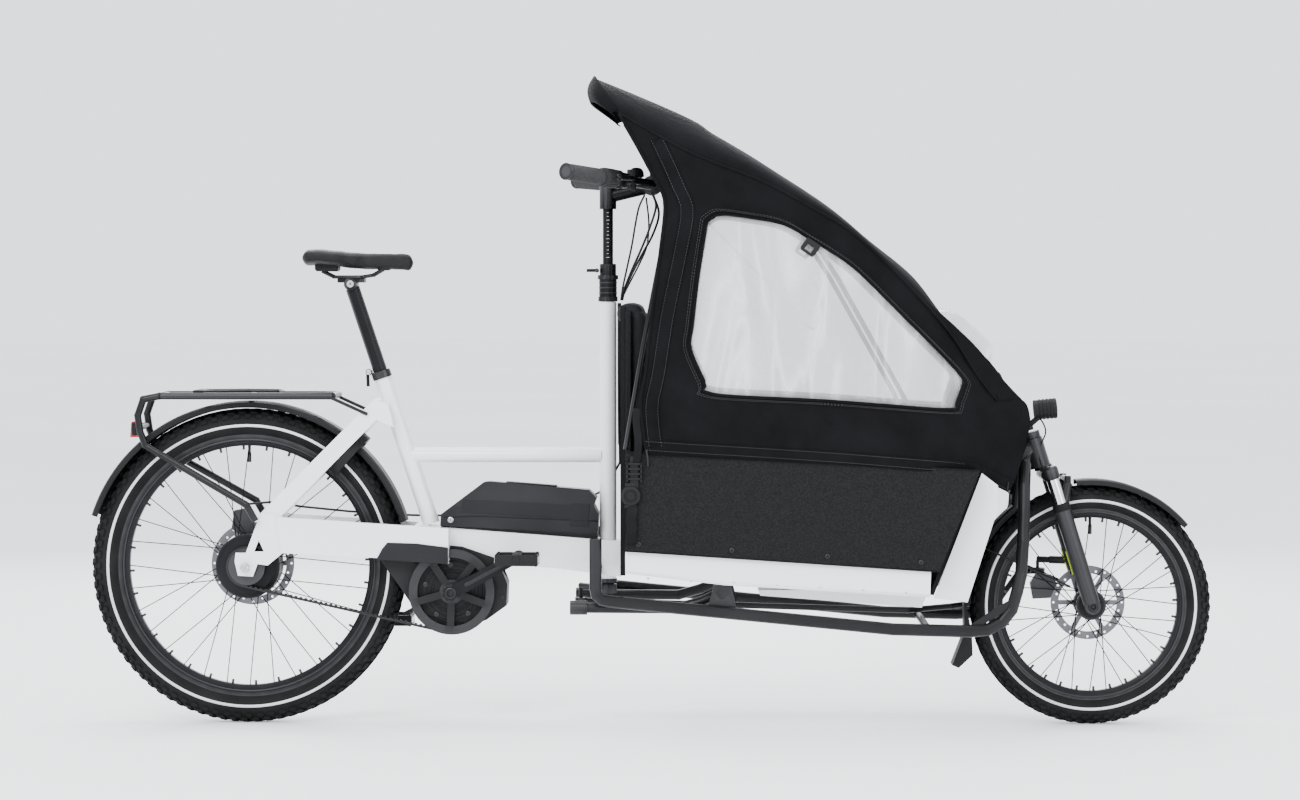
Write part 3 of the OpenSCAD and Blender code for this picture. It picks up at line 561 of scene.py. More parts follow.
for end, width, bead_r, pitches, valve_r, band_r in (("rear", 0.0595, 0.2855, 84, 0.259, 0.268),
                                                     ("front", 0.0545, 0.2085, 66, 0.187, 0.196)):
    wheel = end + "_wheel"
    wheel_centre = tyre(end + "_tyre_tread", end + "_tyre", wheel, width, bead_r, pitches)
    valve(end + "_valve", wheel, wheel_centre, valve_r)
    rim_bands(end + "_rim_bands", wheel, wheel_centre, band_r, 0.0122)


# ---------- canopy ----------

HALF_W = 0.230


def curve_at(points, t):
    """A point on a smooth curve through points , t from 0 to 1 by length."""
    pts = [Vector(p) for p in points]
    lengths = [0.0]
    for a, b in zip(pts, pts[1:]):
        lengths.append(lengths[-1] + (b - a).length)
    want = max(0.0, min(1.0, t)) * lengths[-1]
    i = max(k for k in range(len(pts) - 1) if lengths[k] <= want + 1e-9)
    u = (want - lengths[i]) / (lengths[i + 1] - lengths[i])
    return spline(pts[max(i - 1, 0)], pts[i], pts[i + 1], pts[min(i + 2, len(pts) - 1)], u)


# Side view curves in metres, (x, z): rear edge upwards, seam forwards, hem forwards, front edge upwards, crown
REAR_EDGE = [(-0.004, 0.590), (-0.017, 0.692), (-0.006, 0.765), (0.006, 0.882), (0.024, 1.016), (0.033, 1.118),
             (0.010, 1.170), (-0.030, 1.246), (-0.062, 1.302)]
SEAM = [(-0.062, 1.302), (0.060, 1.234), (0.120, 1.206), (0.237, 1.160), (0.338, 1.106), (0.435, 1.046),
        (0.545, 0.940), (0.632, 0.842), (0.690, 0.755), (0.735, 0.700)]
HEM = [(-0.004, 0.590), (0.200, 0.580), (0.450, 0.567), (0.660, 0.553), (0.715, 0.535), (0.764, 0.512)]
FRONT_EDGE = [(0.764, 0.512), (0.784, 0.560), (0.800, 0.620), (0.806, 0.662), (0.790, 0.700), (0.735, 0.700)]
CROWN = [(-0.118, 1.386), (0.078, 1.304), (0.137, 1.266), (0.237, 1.206), (0.373, 1.116), (0.461, 1.044),
         (0.551, 0.972), (0.611, 0.895), (0.674, 0.818), (0.738, 0.762)]


def narrowing(x):
    """0 behind the nose to 1 at its tip, eased."""
    t = max(0.0, min(1.0, (x - 0.56) / 0.25))
    return t * t * (3 - 2 * t)


def half_width(x):
    """Half the canopy's width, narrowing into the nose."""
    return HALF_W + 0.004 - 0.115 * narrowing(x)


def side_point(u, v):
    """A point of the side panel, as (x, z): a blend of its four edges. u runs forwards, v upwards."""
    rear, front = curve_at(REAR_EDGE, v), curve_at(FRONT_EDGE, v)
    low, high = curve_at(HEM, u), curve_at(SEAM, u)
    corner = ((1 - u) * (1 - v) * Vector(HEM[0]) + u * (1 - v) * Vector(HEM[-1])
              + (1 - u) * v * Vector(SEAM[0]) + u * v * Vector(SEAM[-1]))
    return (1 - u) * rear + u * front + (1 - v) * low + v * high - corner


def sag(x, y, z):
    """Soft folds of the stretched cloth, in metres."""
    p = Vector((x, y, z))
    folds = noise.noise(p * 7.0) * 0.5 + noise.noise(p * 16.0 + Vector((3, 1, 4))) * 0.22
    low = max(0.0, 1 - abs(z - 0.62) / 0.16)
    pleats = sin(x * 62 + 4 * noise.noise(p * 4)) * 0.5 * low * low
    nose_pull = max(0.0, min(1.0, (x - 0.52) / 0.2))
    return 0.0030 * folds + 0.0012 * pleats + 0.0035 * nose_pull * noise.noise(p * 22.0)


def on_side(u, v, side, out=0.001):
    """A point of the side panel in space, out metres off the cloth."""
    x, z = side_point(u, v)
    belly = 0.006 * sin(pi * v) * sin(pi * u)
    return Vector((x, side * (half_width(x) - belly + out + sag(x, -1, z)), z))


def roof_point(seam, top, w, f):
    """A point of the roof's arch from the right seam (f = 0) over the crown to the left one (f = 1)."""
    x, z = Vector(seam).lerp(Vector(top), sin(pi * f) ** 0.75)
    return Vector((x, -w * cos(pi * f), z))


def canopy_sheet():
    """One sheet of cloth: right side, roof and left side joined along their seams, then nose and pouch."""
    bm = bmesh.new()
    along_n, side_n, roof_n = 96, 44, 26
    rows = []
    for i in range(along_n + 1):
        u = i / along_n
        line = [on_side(u, k / side_n, -1, 0.0) for k in range(side_n + 1)]
        seam, top = curve_at(SEAM, u), curve_at(CROWN, u)
        right = line[:]
        for k in range(1, roof_n):
            p = roof_point(seam, top, half_width(seam.x), k / roof_n)
            p.z += sag(p.x, p.y, p.z) * 0.8
            line.append(p)
        line += [Vector((p.x, -p.y, p.z)) for p in right[::-1]]
        rows.append([bm.verts.new(p) for p in line])
    join_grid(bm, rows)
    # nose: closes the front edge across the width
    front = rows[-1]
    near, far = front[:side_n + 1], front[:-(side_n + 2):-1]
    nose = [near]
    for j in range(1, roof_n):
        f = 0.5 - 0.5 * cos(pi * j / roof_n)
        column = []
        for k in range(side_n + 1):
            p = near[k].co.lerp(far[k].co, f)
            bulge = sin(pi * f) * 0.008 * sin(pi * min(1.0, k / side_n + 0.12))
            # the lamp's bracket presses the cloth in
            press = 0.018 * exp(-(p.y / 0.06) ** 2 - ((p.z - 0.645) / 0.06) ** 2)
            column.append(bm.verts.new((min(p.x + bulge, 0.812) - press, p.y, p.z + sag(p.x, p.y * 3, p.z))))
        nose.append(column)
    nose.append(far)
    join_grid(bm, nose)
    # pouch: the full panel between the roof's front edge and the nose
    arch, brow = front[side_n:side_n + roof_n + 1], [column[side_n] for column in nose]
    pouch = [arch]
    for t in (0.25, 0.5, 0.75):
        full = [sin(pi * t) * sin(pi * k / roof_n) for k in range(roof_n + 1)]
        pouch.append([bm.verts.new(top.co.lerp(low.co, t) + Vector((0.022, 0, 0.012)) * out)
                      for top, low, out in zip(arch, brow, full)])
    pouch.append(brow)
    join_grid(bm, pouch)
    bmesh.ops.remove_doubles(bm, verts=bm.verts, dist=0.0004)
    return bm


WINDOW = [(0.122, 1.075), (0.150, 1.092), (0.215, 1.085), (0.285, 1.071), (0.340, 1.040), (0.395, 1.006),
          (0.440, 0.972), (0.520, 0.893), (0.650, 0.762), (0.659, 0.733), (0.645, 0.698), (0.630, 0.684),
          (0.380, 0.702), (0.137, 0.716), (0.118, 0.742), (0.088, 0.812), (0.092, 0.858), (0.104, 0.960)]


def grown(p, across, up):
    """A window point moved away from the window's middle."""
    return (p[0] - 0.38) * across + 0.38, (p[1] - 0.87) * up + 0.87


def cut(obj, name, near, far):
    """Cuts a slab out of a piece."""
    bm = bmesh.new()
    add_slab(bm, near, far)
    tool = plain_object(bm, name)
    modify(obj, "BOOLEAN", operation="DIFFERENCE", object=tool, solver="FAST")
    bpy.data.objects.remove(tool)


canopy = to_object(canopy_sheet(), "canopy_cloth", CANOPY, "frame")
modify(canopy, "SOLIDIFY", thickness=0.0022, offset=0.0)
WINDOW_STEPS = 120
window_loop = [curve_at(WINDOW + WINDOW[:1], i / WINDOW_STEPS) for i in range(WINDOW_STEPS)]
cut(canopy, "window_cutter", [(x, -0.4, z) for x, z in window_loop], [(x, 0.4, z) for x, z in window_loop])

# windscreen opening in the front of the roof, with rounded corners in plan
SCREEN_DOWN = Vector((0.689, 0, -0.725)).normalized()
SCREEN_OUT = Vector((0.725, 0, 0.689)).normalized()
SCREEN_C = Vector((0.664, 0, 0.829))
SCREEN_L, SCREEN_W, SCREEN_CORNER = 0.078, 0.140, 0.03
ring = []
for sx, sy, start in ((1, 1, 0), (-1, 1, 90), (-1, -1, 180), (1, -1, 270)):
    for k in range(6):
        a = radians(start + 18 * k)
        px = sx * (SCREEN_L - SCREEN_CORNER) + SCREEN_CORNER * cos(a)
        py = sy * (SCREEN_W - SCREEN_CORNER) + SCREEN_CORNER * sin(a)
        ring.append(SCREEN_C + SCREEN_DOWN * px + Vector((0, py, 0)))
cut(canopy, "screen_cutter", [p - SCREEN_OUT * 0.10 for p in ring], [p + SCREEN_OUT * 0.12 for p in ring])
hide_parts("canopy")


def film(name, rows):
    """Clear film on a grid of points."""
    bm = bmesh.new()
    join_grid(bm, [[bm.verts.new(p) for p in row] for row in rows])
    obj = to_object(bm, name, FILM, "frame")
    modify(obj, "SOLIDIFY", thickness=0.0006, offset=0.0)
    return obj


def inside_fan(outline, rings):
    """Rows that shrink a closed outline towards its middle, for a film that fills it."""
    middle = sum(outline, Vector((0, 0))) / len(outline)
    closed = outline + outline[:1]
    return ([[p.lerp(middle, j / rings) for p in closed] for j in range(rings)]
            + [[middle + Vector((1e-4 * cos(i), 1e-4 * sin(i))) for i in range(len(closed))]])


def wrinkle(x, z):
    """How far the side film stands out where it is stretched unevenly."""
    p = Vector((x * 5, z * 5, 0.3))
    diagonal = sin((x * 0.8 + z) * 34 + 3 * noise.noise(p))
    lower = max(0.0, min(1.0, (x - 0.15) / 0.4))
    return 0.0032 * noise.noise(p) + 0.0016 * diagonal * lower


def screen_point(a, b):
    """A point of the blown-out windscreen: a runs down it and b across it, both from -1 to 1."""
    p = SCREEN_C + SCREEN_DOWN * a * (SCREEN_L + 0.004) + Vector((0, b * (SCREEN_W + 0.004), 0))
    blown = 0.030 * (1 - a ** 4) ** 0.8 * (1 - b ** 4) ** 0.5 * (1 + 0.35 * a)
    seat = 0.011 - 0.02 * abs(b) ** 2
    u = max(0.0, min(1.0, (p.x - 0.56) / 0.19))
    return p + SCREEN_OUT * (blown + seat + 0.002 * noise.noise(Vector((a * 3, b * 3, u))))


for side, tag in SIDES:
    pane = film("side_window_" + tag,
                [[(p.x, side * (half_width(p.x) - 0.007 + wrinkle(p.x, p.y)), p.y) for p in row]
                 for row in inside_fan([Vector(grown(p, 1.015, 1.02)) for p in window_loop], 22)])
    if side < 0:
        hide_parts("canopy_windows")
film("windscreen", [[screen_point(-1 + i / 12, -1 + k / 16) for k in range(33)] for i in range(25)])


def ribbon(name, points, width, thick, material, lift):
    """A flat strip along points, lying square to lift, with rounded edges."""
    half = width / 2
    section = [(-half, 0), (-half * 0.92, thick * 0.7), (-half * 0.7, thick), (half * 0.7, thick),
               (half * 0.92, thick * 0.7), (half, 0), (half * 0.7, -thick * 0.3), (-half * 0.7, -thick * 0.3)]
    bm = bmesh.new()
    pts = [Vector(p) for p in points]
    n = Vector(lift).normalized()
    rings = []
    for p, t in zip(pts, directions(pts)):
        s = t.cross(n).normalized()
        rings.append([bm.verts.new(p + s * a + n * b) for a, b in section])
    join_rings(bm, rings)
    to_object(bm, name, material, "frame")


def stitches(name, paths, step=0.006):
    """Rows of short raised thread stitches along paths."""
    bm = bmesh.new()
    for path in paths:
        pts = [Vector(p) for p in path]
        for a, b in zip(pts, pts[1:]):
            count = max(1, round((b - a).length / step))
            for i in range(count):
                p, q = a.lerp(b, (i + 0.15) / count), a.lerp(b, (i + 0.75) / count)
                d = (q - p).normalized()
                side = d.cross(Vector((0, 1, 0))).normalized()
                if (q - p).length > 1e-5:
                    add_box(bm, (p + q) / 2, ((q - p).length, 0.0009, 0.0009), (d, side, d.cross(side)))
    to_object(bm, name, THREAD, "frame")


def piping(name, points, radius):
    """A cord sewn into a seam of the canopy."""
    tube_piece(name, points, radius, CANOPY, "frame", sides=8, smooth=False)


thread_paths = []
closed_loop = window_loop + window_loop[:1]
for side, tag in SIDES:
    seam = [curve_at(SEAM, i / 60) for i in range(61)]
    piping("canopy_piping_" + tag, [(p.x, side * (half_width(p.x) + 0.0015), p.y) for p in seam], 0.0028)
    edge = [(p.x, side * (half_width(p.x) - 0.001), p.y) for p in closed_loop]
    piping("window_piping_" + tag, edge, 0.0034)
    for grow in (1.03, 1.045):
        outer = [(grown(p, grow, grow), side * (half_width(p.x) + 0.0028)) for p in closed_loop]
        thread_paths.append([(x, y, z) for (x, z), y in outer])
    # vertical zip behind the window, under its flap
    zip_line = [on_side(0.055 - 0.012 * (1 - v) + 0.03 * v * v, v, side, 0.002)
                for v in (k / 30 for k in range(1, 30))]
    ribbon("zip_flap_" + tag, zip_line, 0.030, 0.0022, CANOPY, lift=(0, side, 0))
    thread_paths += [[p + Vector((s * 0.0125, side * 0.0026, 0)) for p in zip_line] for s in (-1, 1)]
    # hem band above the box panel
    hem = [on_side(k / 50, 0.035, side, 0.0018) for k in range(51)]
    ribbon("hem_band_" + tag, hem, 0.026, 0.0018, CANOPY, lift=(0, side, 0))
    thread_paths += [[p + Vector((0, side * 0.0022, d)) for p in hem] for d in (-0.009, 0.009)]
    piping("rear_binding_" + tag, [on_side(0.004, k / 40, side, 0.0012) for k in range(41)], 0.0036)
rim = [roof_point(SEAM[-1], CROWN[-1], half_width(SEAM[-1][0]), k / 40) + Vector((0.001, 0, 0.001))
       for k in range(41)]
piping("pouch_piping", rim, 0.0032)
thread_paths.append([p + Vector((-0.009, 0, 0.009)) for p in rim[6:-6]])
stitches("canopy_stitching", thread_paths)

# clip that holds the window's upper edge to its pole: (along, up) from its middle, and size
CLIP = (((0.0, 0.0), (0.034, 0.006, 0.012)), ((-0.013, -0.012), (0.009, 0.005, 0.018)),
        ((0.012, -0.011), (0.010, 0.005, 0.016)), ((0.0, -0.021), (0.030, 0.005, 0.006)))
clip_axes = tuple(Vector(v) for v in ((0.83, 0, -0.56), (0, 1, 0), (0.56, 0, 0.83)))
for side, tag in SIDES:
    middle = Vector((0.343, side * 0.2370, 1.030))
    boxes("window_clip_" + tag, [(middle + clip_axes[0] * along + clip_axes[2] * up, size, clip_axes)
                                 for (along, up), size in CLIP], PLASTIC, "frame", 0.0012)

# visor: the stiff peak that stands out behind the roof
bm = bmesh.new()
rows = []
for i in range(9):
    f = i / 8
    row = []
    for k in range(33):
        rise = sin(pi * k / 32) ** 0.75
        base = roof_point(SEAM[0], CROWN[0], half_width(SEAM[0][0]) + 0.002, k / 32)
        fall = Vector((-0.008 - 0.012 * (1 - rise), 0, -0.012 - 0.046 * (0.45 + 0.55 * rise)))
        roll = Vector((-0.010 * sin(pi * f), 0, 0.006))
        row.append(bm.verts.new(base + fall * f * (0.35 + 0.65 * rise) + roll))
    rows.append(row)
join_grid(bm, rows)
visor = to_object(bm, "canopy_visor", CANOPY, "frame")
modify(visor, "SOLIDIFY", thickness=0.0035, offset=0.0)

# nose drawstring with its toggle, on the right
bm = bmesh.new()
add_tube(bm, [(0.760, -0.135, 0.528), (0.758, -0.137, 0.512), (0.764, -0.137, 0.498), (0.766, -0.136, 0.486),
              (0.758, -0.136, 0.474)], 0.0014, 8)
add_tube(bm, [(0.764, -0.137, 0.502), (0.765, -0.137, 0.490)], 0.0034)
to_object(bm, "nose_drawstring", HOSE, "frame")


# ---------- cushions ----------

def rounded_block(name, low, high, corner):
    """A closed rounded block of cushion cloth, the start of a padded piece."""
    bm = bmesh.new()
    bmesh.ops.create_cube(bm, size=1.0)
    size, middle = Vector(high) - Vector(low), (Vector(high) + Vector(low)) / 2
    for v in bm.verts:
        v.co = v.co * size + middle
    bmesh.ops.bevel(bm, geom=bm.edges[:], offset=corner, segments=4, affect="EDGES", profile=0.5)
    return to_object(bm, name, CUSHION, "frame")


def puff(obj, cap, pressure=4.0, voxel=0.006):
    """Cloth simulation that swells a pad, with each point's travel capped."""
    modify(obj, "REMESH", mode="VOXEL", voxel_size=voxel)
    start = [v.co.copy() for v in obj.data.vertices]
    cloth = obj.modifiers.new("cloth", "CLOTH")
    cloth.settings.use_pressure = True
    cloth.settings.uniform_pressure_force = pressure
    cloth.settings.effector_weights.gravity = 0
    cloth.settings.quality = 4
    scene = bpy.context.scene
    for f in range(1, 19):
        scene.frame_set(f)
    shaped = obj.evaluated_get(bpy.context.evaluated_depsgraph_get()).to_mesh()
    after = [v.co.copy() for v in shaped.vertices]
    obj.modifiers.remove(cloth)
    for v, a, b in zip(obj.data.vertices, start, after):
        move = b - a
        if move.length > cap:
            move = move.normalized() * cap
        v.co = a + move
    scene.frame_set(1)


def channels(obj, lines, face, above, depth, width):
    """Presses sewn channels into a pad's face. lines: (axis across a channel, its place on that axis)."""
    for v in obj.data.vertices:
        for axis, place in lines:
            d = abs(v.co[axis] - place) / width
            if v.co[face] > above and d < 1:
                v.co[face] -= depth * (1 - d * d) ** 2


seat_pad = rounded_block("seat_cushion", (-0.036, -0.168, 0.428), (0.220, 0.168, 0.474), 0.018)
puff(seat_pad, 0.007)
channels(seat_pad, [(0, 0.05), (0, 0.14), (1, 0.0)], 2, 0.45, 0.006, 0.010)
back_pad = rounded_block("backrest_cushion", (-0.040, -0.158, 0.492), (-0.008, 0.158, 0.896), 0.015)
puff(back_pad, 0.006)
channels(back_pad, [(2, 0.58), (2, 0.68), (2, 0.78), (1, 0.0)], 0, -0.02, 0.005, 0.010)
for pad in (seat_pad, back_pad):
    for face in pad.data.polygons:
        face.use_smooth = True
    modify(pad, "SUBSURF", levels=1)
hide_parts("bench_cushions")
boxes("backrest_board", [((-0.0425, 0, 0.664), (0.013, 0.330, 0.452))], PANEL, "frame", 0.003)
head_roll = rounded_block("headrest_roll", (-0.068, -0.150, 0.862), (-0.012, 0.150, 0.905), 0.020)
puff(head_roll, 0.004)
legs = [((0.199, s * 0.166, 0.369), (0.018, 0.012, 0.078)) for s in (-1, 1)]
boxes("bench_board", [((0.085, 0, 0.4135), (0.262, 0.36, 0.011))] + legs, PANEL, "frame", 0.002)
# shoulder straps of the harness on the bench
STRAP = [(-0.005, 0.055, 0.84), (0.006, 0.058, 0.76), (0.009, 0.06, 0.66), (0.012, 0.06, 0.56),
         (0.030, 0.05, 0.50), (0.080, 0.02, 0.488)]
for side, tag in SIDES:
    plan = [curve_at([(x, side * y) for x, y, z in STRAP], i / 24) for i in range(25)]
    heights = [curve_at([(x, z) for x, y, z in STRAP], i / 24) for i in range(25)]
    ribbon("harness_strap_" + tag, [(h.x + 0.002, p.y, h.y) for p, h in zip(plan, heights)], 0.024, 0.0016, WEB,
           lift=(1, 0, 0.2))


# ---------- saddle ----------

# (place along, half width, drop), rear to nose
STATIONS = [(0.0, 0.052, -0.004), (0.05, 0.068, 0.0), (0.16, 0.073, 0.001), (0.30, 0.070, -0.002),
            (0.45, 0.054, -0.006), (0.60, 0.036, -0.008), (0.75, 0.026, -0.008), (0.90, 0.020, -0.009),
            (0.97, 0.016, -0.011), (1.0, 0.008, -0.014)]


def saddle(around=40, along=44):
    """Lofted saddle: wide rear, waist and rounded nose, with a centre channel."""
    low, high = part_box("saddle")
    length = high[0] - low[0]
    bm = bmesh.new()
    rings = []
    for i in range(along + 1):
        t = i / along
        (t0, half0, drop0), (t1, half1, drop1) = next(
            pair for pair in list(zip(STATIONS, STATIONS[1:]))[::-1] if pair[0][0] <= t + 1e-9)
        f = (t - t0) / (t1 - t0)
        f = f * f * (3 - 2 * f)
        half, drop = half0 + (half1 - half0) * f, drop0 + (drop1 - drop0) * f
        end = min(1.0, *(sqrt(max(0.0, 1 - (1 - min(1, e)) ** 2)) + 0.12 for e in (t * 14, (1 - t) * 16)))
        ring = []
        for n in range(around):
            a = tau * n / around
            c, s = cos(a), sin(a)
            y = half * copysign(abs(c) ** 0.75, c)
            top = 0.015 * max(0.0, s) ** 0.7 * end
            under = -0.020 * max(0.0, -s) ** 0.8 * end
            groove = 0.0045 * exp(-(y / 0.010) ** 2) * (s > 0)
            groove *= sin(pi * min(1, t * 1.15)) ** 0.5
            z = high[2] - 0.0165 + drop + top + under - groove
            ring.append(bm.verts.new((low[0] + 0.003 + t * (length - 0.006), y, z)))
        rings.append(ring)
    join_rings(bm, rings)
    obj = to_object(bm, "saddle_cover", SADDLE, "seat")
    modify(obj, "SUBSURF", levels=1)
    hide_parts("saddle")


saddle()
# rear bumper and rail mounts below the saddle
base = boxes("saddle_base", [((-0.695, 0, 0.985), (0.050, 0.062, 0.022)),
                             ((-0.573, 0, 0.983), (0.030, 0.034, 0.014))], PLASTIC, "seat", 0)
modify(base, "BEVEL", width=0.006, segments=4)


# ---------- places on the frame ----------

Y_AXIS = (0, 1, 0)
UP = (0, 0, 1)
COLUMN_X = -0.0905
HEAD_UP = Vector((-sin(radians(17.5)), 0, cos(radians(17.5))))
REAR_AXLE = Vector((-0.8655, 0, 0.3395))
FRONT_AXLE = Vector((0.947, 0, 0.258))
CRANK_AXLE = Vector((-0.4245, 0, 0.287))
CRANK_UP = radians(28)
BAR_BEND, BAR_END = Vector((0.004, 0.062, 1.158)), Vector((-0.165, 0.300, 1.178))
BAR_DIR = (BAR_END - BAR_BEND).normalized()
STRAP_Y, PANEL_Y, TRAY_Y = 0.2368, 0.2300, 0.2202
BELT_Y, RING_R, SPROCKET_R, TOOTH_PITCH = -0.0505, 0.0875, 0.042, 0.011


# ---------- straps beside the box ----------

for side, tag in SIDES:
    y = side * STRAP_Y
    out = (0, side, 0)
    upper = [(-0.022 - 0.002 * sin(k * 0.5), y + side * 0.0006 * sin(k), 0.687 - k * 0.0078)
             for k in range(16)]
    tail = [(-0.034 + 0.0012 * sin(k * 0.9), y + side * 0.0005 * (1 + sin(k * 0.8)),
             0.482 - k * 0.0052) for k in range(16)]
    ribbon("strap_upper_" + tag, upper, 0.016, 0.0018, WEB, lift=out)
    ribbon("strap_tail_" + tag, tail, 0.022, 0.0018, WEB, lift=out)
    ladder = [((-0.029, y + side * 0.001, z), (0.032, 0.0045, 0.0045)) for z in (0.571, 0.5605, 0.550, 0.5395)]
    ladder += [((-0.029 + s * 0.0145, y + side * 0.001, 0.5535), (0.004, 0.0045, 0.040)) for s in (-1, 1)]
    ladder.append(((-0.029, y - side * 0.001, 0.5535), (0.018, 0.0015, 0.066)))
    buckle = boxes("strap_buckle_" + tag, ladder, PLASTIC, "frame", 0.0012)
    if side < 0:
        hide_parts("side_straps")
    turned("strap_snap_" + tag, (-0.036, y + side * 0.001, 0.504), out,
           [(1, -2), (20.5, -2), (21.2, 0.2), (19.5, 2.6), (13.5, 3.2), (12.5, 1.6), (9.5, 1.6), (8.5, 3.4),
            (1, 3.6)],
           PLASTIC, "frame")
    ears = [((-0.036, y, z), (wide, 0.003, tall))
            for z, wide, tall in ((0.527, 0.024, 0.008), (0.4815, 0.026, 0.007))]
    boxes("strap_snap_ears_" + tag, ears, PLASTIC, "frame", 0.001)
    tube_piece("zip_pull_" + tag, [(-0.004, y, 0.600), (-0.001, y + side * 0.001, 0.585), (0.000, y, 0.566)],
               0.0022, HOSE, "frame")

# ---------- control cables ----------

CABLES = {
    "shift_cable_in": (-1, 0.0021, [(-0.010, 0.096, 1.135), (-0.022, 0.080, 1.110), (-0.030, 0.060, 1.075),
                                    (-0.038, 0.042, 1.030), (-0.048, 0.028, 0.985), (-0.058, 0.018, 0.940),
                                    (-0.062, 0.014, 0.912)]),
    "brake_hose_rear": (-1, 0.0025, [(0.006, 0.090, 1.140), (0.014, 0.072, 1.112), (0.000, 0.050, 1.066),
                                     (-0.018, 0.032, 1.022), (-0.038, 0.017, 0.978), (-0.054, 0.008, 0.938),
                                     (-0.060, 0.005, 0.912)]),
    "brake_hose_front": (1, 0.0025, [(0.006, 0.090, 1.140), (0.018, 0.072, 1.100), (0.006, 0.050, 1.056),
                                     (-0.016, 0.032, 1.014), (-0.038, 0.017, 0.972), (-0.054, 0.008, 0.936),
                                     (-0.060, 0.005, 0.912)]),
    "display_wire": (1, 0.0019, [(-0.010, 0.096, 1.135), (-0.004, 0.080, 1.080), (-0.008, 0.060, 1.030),
                                 (-0.022, 0.044, 0.994), (-0.040, 0.030, 0.958), (-0.054, 0.020, 0.930),
                                 (-0.062, 0.014, 0.912)]),
}
for name, (side, radius, points) in CABLES.items():
    bm = bmesh.new()
    add_tube(bm, smooth3([flip(p, side) for p in points]), radius)
    cable = plain_object(bm, name, HOSE, smooth=True)
    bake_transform(cable)
    if name == "shift_cable_in":
        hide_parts("control_cables")


# ---------- handlebar parts ----------

for side, tag in SIDES:
    axis, start = flip(BAR_DIR, side), flip(BAR_BEND, side)
    ribs = [(12.5, 179.5)]
    for s in (182 + 6.6 * k for k in range(16)):
        ribs += [(16.3, s), (17.2, s + 0.8), (17.2, s + 4.0), (16.3, s + 4.8)]
    ribs += [(16.5, 290), (12.5, 290)]
    turned("grip_ribs_" + tag, start, axis, ribs, GRIP, "handlebars", steps=40)
    turned("bar_end_ring_" + tag, start, axis,
           [(12, 296.5), (17.4, 296.5), (17.8, 298.5), (16.5, 299.2), (12, 299.4)], ANODISED, "handlebars")
    turned("perch_band_" + tag, start, axis,
           [(12.5, 93.5), (16.2, 94), (16.6, 96), (16.6, 110), (16.2, 112), (12.5, 112.5)], ANODISED,
           "handlebars")
    port = start + axis * 0.098 + Vector((0.020, side * 0.010, -0.012))
    boxes("hose_port_" + tag, [(port, (0.012, 0.012, 0.020))], PLASTIC, "handlebars", 0.002)

# twist shifter on the right
axis, start = flip(BAR_DIR, -1), flip(BAR_BEND, -1)
turned("shifter_sleeve", start, axis,
       [(16.5, 131.8), (19.6, 132.5), (20, 135), (19.6, 172), (18.6, 175.6), (16.5, 176)], GRIP, "shifter",
       steps=40)
x = axis.orthogonal().normalized()
z = axis.cross(x)
outs = [cos(a) * x + sin(a) * z for a in (tau * k / 20 for k in range(20))]
ridges = [(start + axis * 0.154 + out * 0.0198, (0.0016, 0.0026, 0.032), (out, axis.cross(out), axis))
          for out in outs]
boxes("shifter_ridges", ridges, GRIP, "shifter", 0.0005)

# display, bell and stem
screen_axes = tilted(radians(-20))
tip = Vector((0.0165, 0, 1.200))
boxes("display_frame", [(tip + Vector((0.003, 0, 0.001)), (0.0105, 0.074, 0.046), screen_axes)], PLASTIC,
      "handlebars", 0.0035)
boxes("display_glass", [(tip + Vector((-0.0030, 0, 0.0033)), (0.0020, 0.064, 0.036), screen_axes)], GLASS_BLACK,
      "handlebars", 0.0008)
turned("bell_dome", BAR_BEND + BAR_DIR * 0.070 + Vector((0.004, 0.004, 0.030)), UP,
       [(1, -12), (16.8, -12), (17.2, -8), (16.5, -2), (14, 4), (9, 7.8), (1, 9)], ANODISED, "handlebars")
turned("stem_top_cap", (COLUMN_X, 0, 1.160), UP,
       [(1, -1), (18.2, -1), (18.2, 1), (16.5, 2.6), (6, 3.2), (5, 1.6), (1, 1.6)], ANODISED, "handlebars")
bolts = [(0.0235, y, 1.158 + z) for z in (0.008, -0.008) for y in (-0.017, 0.017)]
for k, place in enumerate(bolts):
    turned("stem_bolt_%d" % k, place, (1, 0, 0), [(0.8, 2), (3, 2), (3.2, -1), (0.8, -1)], STEEL, "handlebars",
           steps=16)
marks = [((COLUMN_X, -0.01105, 1.004 + k * 0.008), (0.0042 if k % 5 else 0.007, 0.0004, 0.0008))
         for k in range(13)]
boxes("post_scale_marks", marks, STRIPE, "handlebars", 0)
for height in (928, 939, 950):
    turned("collar_groove_%d" % height, (COLUMN_X, 0, height * MM), UP,
           [(18.5, -2), (19.7, -1.2), (19.7, 1.2), (18.5, 2)], ANODISED, "steering")


# ---------- battery, motor and drive details ----------

BATTERY_SEAM = [(-0.4405, 0.4465), (-0.360, 0.4485), (-0.250, 0.4440), (-0.112, 0.4385)]
for side, tag in SIDES:
    y = side * 0.0462
    boxes("battery_inlay_" + tag, [((-0.285, y, 0.4655), (0.235, 0.0012, 0.030), tilted(-0.055)),
                                   ((-0.150, y, 0.452), (0.040, 0.0014, 0.050), tilted(-0.055))],
          COVER, "frame", 0.0006)
    tube_piece("battery_seam_" + tag, [(x, y, z) for x, z in BATTERY_SEAM], 0.0011, PLASTIC, "frame")
turned("battery_lock", (-0.427, -0.0492, 0.441), (0, -1, 0),
       [(1, -1), (6.2, -1), (6.2, 1.6), (4.8, 2.2), (4, 1.2), (1, 1.2)], STEEL, "frame", steps=32)
boxes("battery_key_slot", [((-0.427, -0.0508, 0.441), (0.0014, 0.001, 0.006))], GLASS_BLACK, "frame", 0)
